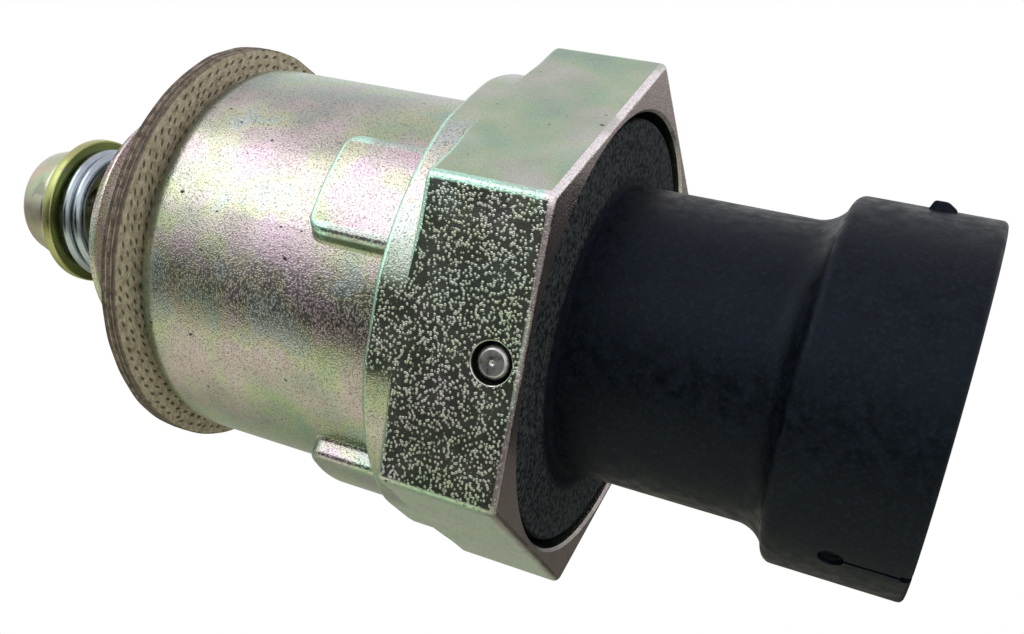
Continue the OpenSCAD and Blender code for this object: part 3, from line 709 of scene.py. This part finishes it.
# %% Pads on the barrel
PAD_W, PAD_LEN, PAD_H, PAD_CORNER, PAD_EDGE = 7.2, 6.2, 1.25, 1.1, 0.4
PAD_CUTS = [((PAD_W * (i / 10 - 0.5), 0, 0), (1, 0, 0)) for i in range(1, 10)]
PAD_CUTS += [((0, level, 0), (0, 1, 0)) for level in (0.0, 0.12, 0.28)]
for k in range(4):
    pad = block((-PAD_W / 2, -1.0, COLLAR_FRONT - PAD_LEN), (PAD_W / 2, PAD_H, COLLAR_FRONT + 0.6))
    upright = [e for e in pad.edges if abs(e.verts[0].co.y - e.verts[1].co.y) > 1]
    bevel(pad, [e for e in upright if e.verts[0].co.z < COLLAR_FRONT - 1], PAD_CORNER, 6)
    bevel(pad, [e for e in pad.edges if all(v.co.y > PAD_H - 1e-4 for v in e.verts)], PAD_EDGE, 4)
    for place_of_cut, across_cut in PAD_CUTS:
        everything = pad.verts[:] + pad.edges[:] + pad.faces[:]
        bmesh.ops.bisect_plane(pad, geom=everything, plane_co=place_of_cut, plane_no=across_cut)
    for v in pad.verts:
        spread = 1 + 0.05 * max(0.0, 1 - max(v.co.y, 0.0) / 0.28) ** 2
        x, h, z = v.co.x * spread, v.co.y, COLLAR_FRONT + (v.co.z - COLLAR_FRONT) * spread
        v.co = (x, -math.sqrt((BARREL_R + h) ** 2 - x * x), z)
    rotate(pad, 60 + 90 * k, "Z")
    housing = boolean(housing, pad, "UNION")

# %% Bores of the housing
POCKET_R, POCKET_END, BUSH_R, MOTOR_R, MOTOR_END, SEAT_R = 6.3, 2, 5, 12.3, 4, 15.2
inside = turned(bmesh.new(), [
    (0, -8), (POCKET_R + 0.3, -8), (POCKET_R + 0.3, NOSE_END), (POCKET_R, NOSE_END + 0.3),
    (POCKET_R, POCKET_END), (BUSH_R, POCKET_END), (BUSH_R, MOTOR_END), (MOTOR_R, MOTOR_END),
    (MOTOR_R, HEX_FRONT), (SEAT_R, HEX_FRONT), (SEAT_R, 31.0), (15.4, HEX_REAR), (15.4, 33), (0, 33),
])
housing = boolean(housing, inside, "DIFFERENCE")


def across_flat(outline):
    """A turned solid that lies on the line of the pin, its heights measured from the axis."""
    bm = turned(bmesh.new(), outline, steps=48)
    rotate(bm, 90, "X")
    bmesh.ops.translate(bm, verts=bm.verts, vec=(PIN_X, 0, PIN_Z))
    return bm


pin_hole = across_flat([
    (0, 17), (RECESS_R + 0.12, 17), (RECESS_R + 0.12, 16.02), (RECESS_R + 0.04, 15.97),
    (RECESS_R, 15.88),
    (RECESS_R, 15.5), (PIN_R, 15.5), (PIN_R, 12), (0, 12),
])
housing = boolean(housing, pin_hole, "DIFFERENCE")
join_flat_faces(housing, 0.3)

# %% [markdown]
# The film is thinnest on the rounded edges, where it shines mint green; the mint is
# painted brightest on the near upper side, toward the lamp, as a painted highlight, and
# the top of the rear rim gets a painted white highlight. The narrow faces that turn an
# outer edge are marked, and the finish of the casting reads that.

# %% Marks on the rounded edges
edge_mark = housing.faces.layers.float.new("edge")
housing.normal_update()
for f in housing.faces:
    middle = f.calc_center_median()
    outside = middle.z > BARREL_FRONT + 2 and math.hypot(middle.x, middle.y) > BARREL_R + 0.2
    outside = outside and (middle.y > 0 or math.hypot(middle.x - PIN_X, middle.z - PIN_Z) > RECESS_R + 0.6)
    width = 2 * f.calc_area() / max(e.calc_length() for e in f.edges)
    turn = sum(max(0.0, e.calc_face_angle_signed(0.0)) for e in f.edges if e.calc_length() > 0.12)
    if outside and width < 0.7 and turn > math.radians(14):
        f[edge_mark] = 1.0
print("faces on rounded edges:", sum(f[edge_mark] > 0 for f in housing.faces), "of", len(housing.faces))
piece("housing_casting", housing, "housing", "zinc_casting", ["housing"], weighted=True)

# %% [markdown]
# ## Gasket
# A ring of pressed fibre in layers: its outer edge shows the layers and is a little
# ragged. The outline has shallow grooves between the layers, and the points of the
# edge move in and out by a few hundredths of a millimetre round the ring.

# %% Gasket
GASKET_R, GASKET_HOLE_R, GASKET_T = 15.2, 10.1, 1.2
edge = [(GASKET_R - 0.10, 0.0), (GASKET_R, 0.08), (GASKET_R - 0.02, 0.34), (GASKET_R - 0.10, 0.40),
        (GASKET_R - 0.03, 0.46), (GASKET_R, 0.62), (GASKET_R - 0.04, 0.78), (GASKET_R - 0.11, 0.84),
        (GASKET_R - 0.03, 0.90), (GASKET_R - 0.02, 1.12), (GASKET_R - 0.10, GASKET_T)]
gasket = ring([(GASKET_HOLE_R, 0.0)] + edge + [(14.0, GASKET_T), (GASKET_HOLE_R, GASKET_T)], steps=240)
rng = random.Random(7)
waves = [(rng.randint(9, 60), rng.uniform(0, math.tau), rng.uniform(0.004, 0.012)) for _ in range(7)]
for v in gasket.verts:
    reach = math.hypot(v.co.x, v.co.y)
    if reach > 14.5:
        turn = math.atan2(v.co.y, v.co.x) + 0.02 * v.co.z
        dent = sum(size * (1 + math.sin(count * turn + start)) for count, start, size in waves)
        v.co.xy *= (reach - dent) / reach
piece("gasket_ring", gasket, "housing", "fibre", ["gasket"])

# %% [markdown]
# ## Pintle, lead screw and spring
# The pintle is turned and pressed on the lead screw. Two flats keep the screw from
# turning in its bush. The spring is a circle of wire spun up a helix in stages, so
# its end coils lie close together.

# %% Pintle
OUT, FLANGE_R, FLANGE_T, NOSE_R, TIP_R, NOSE_LEN = -14.0, 5.9, 0.9, 4.95, 4.25, 4.1
flange_foot, tip = OUT - FLANGE_T, OUT - FLANGE_T - NOSE_LEN
pintle = turned(bmesh.new(), [(0, tip)]
                + arc((TIP_R - 0.8, tip + 0.8), 0.8, -90, -8, 7)
                + arc((NOSE_R - 0.5, flange_foot - 1.1), 0.5, 0, 8, 2)
                + arc((NOSE_R + 0.25, flange_foot - 0.25), 0.25, 180, 90, 4)
                + arc((FLANGE_R - 0.2, flange_foot + 0.2), 0.2, -90, 0, 4)
                + arc((FLANGE_R - 0.16, OUT - 0.16), 0.16, 0, 90, 3)
                + [(2.35, OUT), (2.2, OUT - 0.15), (0, OUT - 0.15)])
piece("pintle_head", pintle, "pintle", "pintle_zinc", ["pintle"])

# %% Lead screw
SCREW_R, SCREW_ROOT, SCREW_FLAT, LEAD, SCREW_TOP = 2.0, 1.66, 1.6, 1.0, 17.0
SCREW_FOOT = OUT - 0.15
groove = [
    (SCREW_ROOT, 0.05), (SCREW_ROOT + 0.05, 0.12), (SCREW_R - 0.03, 0.36), (SCREW_R, 0.40),
    (SCREW_R, 0.60), (SCREW_R - 0.03, 0.64), (SCREW_ROOT + 0.05, 0.88), (SCREW_ROOT, 0.95),
]
turns = int(SCREW_TOP - SCREW_FOOT) + 3
grooves = [(r, SCREW_FOOT - 1.5 + k + z) for k in range(turns) for r, z in groove]
screw = turned(bmesh.new(), grooves, rise=LEAD, steps=48)
for v in screw.verts:
    angle, reach = math.atan2(v.co.y, v.co.x), math.hypot(v.co.x, v.co.y)
    z = min(max(v.co.z, SCREW_FOOT), SCREW_TOP)
    reach = min(reach, 1.55 + (SCREW_TOP - z))
    if z == SCREW_FOOT:
        reach = SCREW_ROOT
    v.co = (reach * math.cos(angle), max(-SCREW_FLAT, min(SCREW_FLAT, reach * math.sin(angle))), z)
bmesh.ops.remove_doubles(screw, verts=screw.verts, dist=1e-3)
rims = [e for e in screw.edges if len(e.link_faces) == 1]
bmesh.ops.holes_fill(screw, edges=rims, sides=0)
bmesh.ops.dissolve_degenerate(screw, dist=1e-4, edges=screw.edges)
piece("lead_screw", screw, "pintle", "steel", ["pintle_shaft"])

# %% Spring
WIRE_R, SPRING_R, CLOSED, ACTIVE, START = 0.47, 4.83, 1.25, 4.25, 155
SEAT_Z, WIRE_STEPS = 1.4, 56
CLOSED_PITCH = 1.06 * 2 * WIRE_R
ACTIVE_PITCH = (SEAT_Z - OUT - 2 * WIRE_R - 2 * CLOSED * CLOSED_PITCH) / ACTIVE
spring = bmesh.new()
wire = bmesh.ops.create_circle(spring, segments=16, radius=WIRE_R, cap_ends=True)["verts"]
rotate(spring, 90, "X", wire)
bmesh.ops.translate(spring, verts=wire, vec=(SPRING_R, 0, OUT + WIRE_R))
rotate(spring, START, "Z", wire)
section = spring.verts[:] + spring.edges[:] + spring.faces[:]
for turns, pitch in ((CLOSED, CLOSED_PITCH), (ACTIVE, ACTIVE_PITCH), (CLOSED, CLOSED_PITCH)):
    spun = bmesh.ops.spin(
        spring, geom=section, cent=(0, 0, 0), axis=(0, 0, 1), dvec=(0, 0, pitch / WIRE_STEPS),
        angle=math.tau * turns, steps=round(turns * WIRE_STEPS), use_merge=False,
    )
    section = spun["geom_last"]
spring_wire = piece("pintle_spring_wire", spring, None, "spring_steel", ["pintle_spring"])

# %% [markdown]
# As the pintle slides, the end coils stay closed and only the free turns give. Each
# point of the wire is matched here to the turn it lies on, from its height; the
# points are not moved.

# %% Which turn each point of the spring lies on
def wire_height(turn):
    """Height of the middle of the wire after so many turns, counted from the pintle."""
    free = min(max(turn - CLOSED, 0.0), ACTIVE)
    return OUT + WIRE_R + CLOSED_PITCH * (turn - free) + ACTIVE_PITCH * free


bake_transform(spring_wire)
for v in spring_wire.data.vertices:
    part_turn = ((math.atan2(v.co.y, v.co.x) - math.radians(START)) / math.tau + 1e-4) % 1
    turn = min((part_turn + k for k in range(8)), key=lambda t: abs(wire_height(t) - v.co.z / MM))

# %% [markdown]
# ## Connector
# A black moulding: a flange that is held in the hexagon, a round neck and a hood
# round the plug's socket. Neck and hood are one outline, spun about an axis that
# stands a little off the valve's axis, as the photograph shows.

# %% Flange, neck and hood
OFFSET = -0.4
NECK_R, HOOD_R, HOOD_Z, RIM_Z = 10.05, 12.0, 44.9, 53.7
DISC_R, SEAL_GROOVE_R = 14.7, 13.4
connector = turned(bmesh.new(), [
    (0, HEX_FRONT), (DISC_R - 0.2, HEX_FRONT), (DISC_R, HEX_FRONT + 0.2), (DISC_R, 24.4),
    (SEAL_GROOVE_R, 24.4), (SEAL_GROOVE_R, 26.4), (DISC_R, 26.4),
] + arc((DISC_R - 0.45, FLANGE_TOP - 0.45), 0.45, 0, 90, 5) + [(0, FLANGE_TOP)])
fillet_r, shoulder_r = NECK_R + 2.3, HOOD_R - 0.7
fillet_end = math.degrees(math.acos((shoulder_r - fillet_r) / 2.3))
fillet_z = HOOD_Z - 2.3 * math.sin(math.radians(fillet_end))
hood = turned(bmesh.new(), [(0, FLANGE_TOP - 0.6), (NECK_R + 0.35, FLANGE_TOP - 0.6)]
              + arc((NECK_R + 0.35, FLANGE_TOP + 0.35), 0.35, 270, 180, 4)
              + arc((fillet_r, fillet_z), 2.3, 180, fillet_end, 10)
              + arc((shoulder_r, HOOD_Z + 0.7), 0.7, -90, 0, 7)
              + arc((HOOD_R - 0.35, RIM_Z - 0.35), 0.35, 0, 90, 4) + [(0, RIM_Z)])

# %% Lock on the hood
LOCK_W, LOCK_Z = 3.0, 49.0
lock = bmesh.new()
outline = [(-11.5, 0.0), (-12.45, 0.4), (-12.45, 1.2), (-12.05, 1.8), (-11.5, 1.8)]
side = lock.faces.new([lock.verts.new((x, -LOCK_W / 2, LOCK_Z + z)) for x, z in outline])
grown = bmesh.ops.extrude_face_region(lock, geom=[side])["geom"]
bmesh.ops.translate(lock, verts=[g for g in grown if isinstance(g, bmesh.types.BMVert)], vec=(0, LOCK_W, 0))
bmesh.ops.recalc_face_normals(lock, faces=lock.faces)
bevel(lock, [e for e in lock.edges if all(v.co.x < -12 for v in e.verts)], 0.15, 3)
hood = boolean(hood, lock, "UNION")

# %% Socket and gate mark
SOCKET_L, SOCKET_W, SOCKET_DEPTH = 17.0, 10.6, 13.4
corner_r = SOCKET_W / 2 - 0.2
loop = []
for cx, cy, a in ((1, 1, 0), (-1, 1, 90), (-1, -1, 180), (1, -1, 270)):
    loop += arc((cx * (SOCKET_L / 2 - corner_r), cy * (SOCKET_W / 2 - corner_r)), corner_r, a, a + 90, 16)
levels = [(0.0, -0.4), (0.4, 0.0), (SOCKET_DEPTH - 0.3, 0.0), (SOCKET_DEPTH, 0.25), (SOCKET_DEPTH + 1, 0.25)]
socket = bmesh.new()
rims = []
for height, grow in levels:
    z = RIM_Z - SOCKET_DEPTH + height
    verts = [socket.verts.new((x * (1 + grow / 8), y * (1 + grow / 5), z)) for x, y in loop]
    rims.append([socket.edges.new(pair) for pair in zip(verts, verts[1:] + verts[:1])])
bmesh.ops.remove_doubles(socket, verts=socket.verts, dist=1e-4)
rims = [[e for e in rim if e.is_valid] for rim in rims]
for lower, upper in zip(rims, rims[1:]):
    bmesh.ops.bridge_loops(socket, edges=lower + upper)
for rim in (rims[0], rims[-1]):
    bmesh.ops.edgeloop_fill(socket, edges=rim)
hood = boolean(hood, socket, "DIFFERENCE")
RIB_X, RIB_W, RIB_TOP = 3.4, 1.2, RIM_Z - 1.5
for x in (-RIB_X, RIB_X):
    rib = block((x - RIB_W / 2, 4.5, RIB_TOP - 11.9), (x + RIB_W / 2, 5.5, RIB_TOP))
    bevel(rib, [e for e in rib.edges if all(v.co.y < 5 for v in e.verts)], 0.2, 3)
    hood = boolean(hood, rib, "UNION")
GATE_Z = 49.2
dimple = turned(bmesh.new(), [(0, 0)] + arc((0.6, 0.15), 0.15, -90, 0, 3) + [(0.78, 1.5), (0, 1.5)], steps=40)
rotate(dimple, 90, "X")
bmesh.ops.translate(dimple, verts=dimple.verts, vec=(0, 0.45 - HOOD_R, GATE_Z))
for w, d, low, high in ((0.24, 0.3, GATE_Z, RIM_Z + 1), (0.6, 1.2, RIM_Z - 0.6, RIM_Z + 1)):
    slit = block((-w / 2, -HOOD_R - 1, low), (w / 2, -HOOD_R + d, high))
    dimple = boolean(dimple, slit, "UNION")
rotate(dimple, 45, "Z")
hood = boolean(hood, dimple, "DIFFERENCE")
bmesh.ops.translate(hood, verts=hood.verts, vec=(OFFSET, 0, 0))
connector = boolean(connector, hood, "UNION")

# %% Rooms under the connector
room = turned(bmesh.new(), [(0, 22), (7.42, 22), (7.42, 23.8), (5, 23.8), (5, 27.6), (0, 27.6)])
connector = boolean(connector, room, "DIFFERENCE")
BLADE_PITCH, BLADE_W, BLADE_T = 3.8, 1.6, 0.8
for i in range(4):
    x = (i - 1.5) * BLADE_PITCH + OFFSET
    blade_slot = block((x - BLADE_W / 2, -BLADE_T / 2, 25.6), (x + BLADE_W / 2, BLADE_T / 2, 41))
    connector = boolean(connector, blade_slot, "DIFFERENCE")
connector = boolean(connector, across_flat([(0, 16), (PIN_R, 16), (PIN_R, 12.9), (0, 12.9)]), "DIFFERENCE")
join_flat_faces(connector, 0.3)
piece("connector_moulding", connector, "housing", "black_plastic", ["connector"], weighted=True)

# %% [markdown]
# ## Pin, windings and balls
# The pin that holds the connector is short, with a rounded end and a centre mark
# from the lathe. The two windings get a scalloped outline, one bump for each layer
# of wire, and the balls are made again so that they are truly round.

# %% Retaining pin
PIN_END = 15.9
pin = across_flat([(0, PIN_END - 0.08), (0.06, PIN_END - 0.08), (0.14, PIN_END - 0.01), (0.18, PIN_END)]
                  + arc((PIN_R - 0.24, PIN_END - 0.06), 0.06, 90, 50, 2)
                  + arc((PIN_R - 0.08, PIN_END - 0.24), 0.08, 45, 0, 3)
                  + [(PIN_R, 13.1), (PIN_R - 0.2, 12.9), (0, 12.9)])
piece("pin_steel", pin, "housing", "steel", ["retaining_pin"])

# %% Windings
WIRES, COIL_HOLE_R = 14, 8.42
for name in ("front_coil", "rear_coil"):
    low, high = (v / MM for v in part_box(name))
    wire_r = (high.z - low.z) / WIRES / 2
    outline = [(COIL_HOLE_R, low.z), (COIL_HOLE_R, high.z)]
    for k in range(WIRES - 1, -1, -1):
        outline += arc((high.x - wire_r, low.z + wire_r * (2 * k + 1)), wire_r, 80, -80, 4)
    piece(name + "_winding", ring(outline, steps=96), "housing", "copper_wire", [name], sharp=80)

# %% Balls
BALLS, BALL_R, ORBIT_R, ORBIT_Z = 9, 0.8, 5.01, 22
balls = bmesh.new()
for k in range(BALLS):
    turn = Matrix.Rotation(math.tau * k / BALLS, 4, "Z")
    spot = turn @ Matrix.Translation((ORBIT_R, 0, ORBIT_Z))
    bmesh.ops.create_uvsphere(balls, u_segments=24, v_segments=16, radius=BALL_R, matrix=spot)
piece("ball_set", balls, "ball_train", "steel", ["bearing_balls"])

# %% [markdown]
# ## Small parts inside
# The parts inside the motor keep the exact CAD shape. A copy of each mesh is
# cleaned of the joins between its triangles, and all but the bearing cage and the
# seal ring get a small bevel, so that their edges catch the light when the valve is
# shown opened.

# %% Bevelled copies
INNER = {
    "spring_seat": 0.1, "guide_bush": 0.1, "rotor_nut": 0.1, "rotor_magnet": 0.2,
    "front_stator_cup": 0.08, "rear_stator_cup": 0.08, "front_pole_plate": 0.08, "rear_pole_plate": 0.08,
    "front_bobbin": 0.08, "rear_bobbin": 0.08, "bearing_plate": 0.15, "bearing_inner_race": 0.1,
    "bearing_outer_race": 0.1, "bearing_cage": 0.0, "preload_washer": 0.05, "seal_ring": 0.0,
    "terminal_1": 0.08, "terminal_2": 0.08, "terminal_3": 0.08, "terminal_4": 0.08,
}
slots = {part["node"]: part["material_slot"] for part in frame["record"]["subparts"]}
for name, width in INNER.items():
    copy = bmesh.new()
    copy.from_mesh(frame["nodes"][name].data)
    copy.transform(Matrix.Scale(1 / MM, 4))
    bmesh.ops.remove_doubles(copy, verts=copy.verts, dist=1e-4)
    join_flat_faces(copy, 0.5)
    body = frame["nodes"][name]["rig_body"]
    made = piece(name + "_part", copy, body, slots[name], [name])
    if width:
        bevel = made.modifiers.new("soft edges", "BEVEL")
        bevel.width, bevel.segments, bevel.limit_method = width * MM, 2, "ANGLE"
        bevel.angle_limit = math.radians(40)
        made.modifiers.new("flat faces stay flat", "WEIGHTED_NORMAL").keep_sharp = True

# %% [markdown]
# ## Camera
# The camera stands near the connector's side and looks back along the valve. Its
# place, turn and focal length come from fitting the photograph's edges to the sizes
# of the CAD model; the axis then lies almost level, with -X at the top.

# %% Camera
FOCAL_PX, SHIFT_PX = 1078.3, (-15.0, 80.0)
EYE = Vector((-11.18, -71.26, 51.53)) * MM
RIGHT = Vector((-0.18019, 0.39471, 0.90096))
DOWN = Vector((0.95818, -0.13655, 0.25146))
AHEAD = RIGHT.cross(DOWN)
camera = new_object("camera", bpy.data.cameras.new("camera"))
camera.matrix_world = Matrix.Translation(EYE) @ Matrix((RIGHT, -DOWN, -AHEAD)).transposed().to_4x4()
camera.data.sensor_width = 36
camera.data.lens = FOCAL_PX * 36 / 1024
camera.data.shift_x = -SHIFT_PX[0] / 1024
camera.data.shift_y = SHIFT_PX[1] / 1024
camera.data.clip_start, camera.data.clip_end = 0.001, 10
bpy.context.scene.camera = camera
print("lens in mm:", round(camera.data.lens, 2))

# %% [markdown]
# ## Floor and light
# A pale floor lies under the valve as the photograph shows it. It is painted on the
# valve's side only, so the valve can be looked at from below too. The plated casting
# mirrors what stands round it, so the world gets light and dark bands like those of
# a studio, and is plain white only where the camera looks straight at it.

# %% Floor
FLOOR_DROP, FLOOR_HALF = 30.0, 1500.0
MIDDLE = Vector((0, 0, 22)) * MM
floor_mesh = bmesh.new()
bmesh.ops.create_grid(floor_mesh, x_segments=1, y_segments=1, size=FLOOR_HALF * MM)
flat = Matrix((RIGHT, AHEAD, -DOWN)).transposed()
floor_mesh.transform(Matrix.Translation(MIDDLE + DOWN * FLOOR_DROP * MM) @ flat.to_4x4())
floor_data = bpy.data.meshes.new("floor")
floor_mesh.to_mesh(floor_data)
floor_mesh.free()
floor = new_object("floor", floor_data)

material = bpy.data.materials.new("floor paint")
material.use_nodes = True
tree = material.node_tree
tree.nodes.remove(tree.nodes["Principled BSDF"])
paint = put(tree, "Emission", {"Color": (1, 1, 1, 1), "Strength": 1.0}).outputs[0]
clear = put(tree, "BsdfTransparent").outputs[0]
above = calc(tree, "SUBTRACT", 1.0, put(tree, "NewGeometry").outputs["Backfacing"])
shown = times(tree, above, put(tree, "LightPath").outputs["Is Camera Ray"])
surface = put(tree, "MixShader", {0: shown, 1: clear, 2: paint}).outputs[0]
tree.links.new(surface, tree.nodes["Material Output"].inputs["Surface"])
floor_data.materials.append(material)

# %% World and lamps
world = bpy.data.worlds.new("studio")
bpy.context.scene.world = world
world.use_nodes = True
tree = world.node_tree
direction = put(tree, "TexCoord").outputs["Generated"]
x, y = split(tree, direction)[:2]
NEAR_SIDE = [
    (0.00, 0.44), (0.075, 0.50), (0.125, 0.58), (0.19, 0.70), (0.26, 0.68), (0.35, 0.60),
    (0.41, 0.56), (0.46, 0.48), (0.50, 0.40), (0.55, 0.26), (0.60, 0.14), (0.70, 0.13),
    (0.76, 0.32), (0.82, 0.46), (0.90, 0.46), (1.00, 0.36),
]
FAR_SIDE = [(0.00, 0.46), (0.17, 0.44), (0.33, 0.52), (0.50, 0.40), (0.65, 0.24), (1.00, 0.22)]
STUDIO_TINT = [
    (0.00, (1.0, 0.93, 1.0)), (0.12, (1.0, 0.95, 1.0)), (0.25, (1.0, 1.0, 1.0)), (0.60, (1.0, 1.0, 0.98)),
    (0.75, (1.0, 1.0, 0.80)), (1.00, (1.0, 1.0, 0.80)),
]
place_x = calc(tree, "MULTIPLY_ADD", x, 0.5, 0.5)
near = ramp(tree, place_x, [(position, (v, v, v)) for position, v in NEAR_SIDE])
far = ramp(tree, place_x, [(position, (v, v, v)) for position, v in FAR_SIDE])
studio = blend(tree, remap(tree, y, -0.30, 0.25), near, far)
studio = blend(tree, 1.0, studio, ramp(tree, place_x, STUDIO_TINT), "MULTIPLY")
DARK_PATCHES = (((0.22, -0.90, -0.36), 0.87, 0.97, 0.03), ((0.30, 0.85, 0.40), 0.80, 0.95, 0.20))
for middle, start, end, left in DARK_PATCHES:
    values = {0: direction, 1: Vector(middle).normalized()}
    aim = put(tree, "VectorMath", values, operation="DOT_PRODUCT").outputs["Value"]
    studio = blend(tree, remap(tree, aim, start, end), studio, blend(tree, left, (0, 0, 0, 1), studio))
studio = blend(tree, 1.0, studio, (2.0, 2.0, 2.0, 1), "MULTIPLY")
studio = blend(tree, put(tree, "LightPath").outputs["Is Camera Ray"], studio, (1, 1, 1, 1))
tree.links.new(studio, tree.nodes["Background"].inputs["Color"])
tree.nodes["Background"].inputs["Strength"].default_value = 1.0
bpy.context.scene.view_settings.view_transform = "Standard"

LAMP_SIDE, LAMP_WATTS = 110 * MM, 0.05
lamp_data = bpy.data.lights.new("key", "AREA")
lamp_data.shape, lamp_data.size, lamp_data.energy = "SQUARE", LAMP_SIDE, LAMP_WATTS
lamp = new_object("key", lamp_data)
away = (-118 * RIGHT - 125 * DOWN - 78 * AHEAD) * MM
lamp.location = MIDDLE + away
lamp.rotation_mode = "QUATERNION"
lamp.rotation_quaternion = away.to_track_quat("Z", "Y")
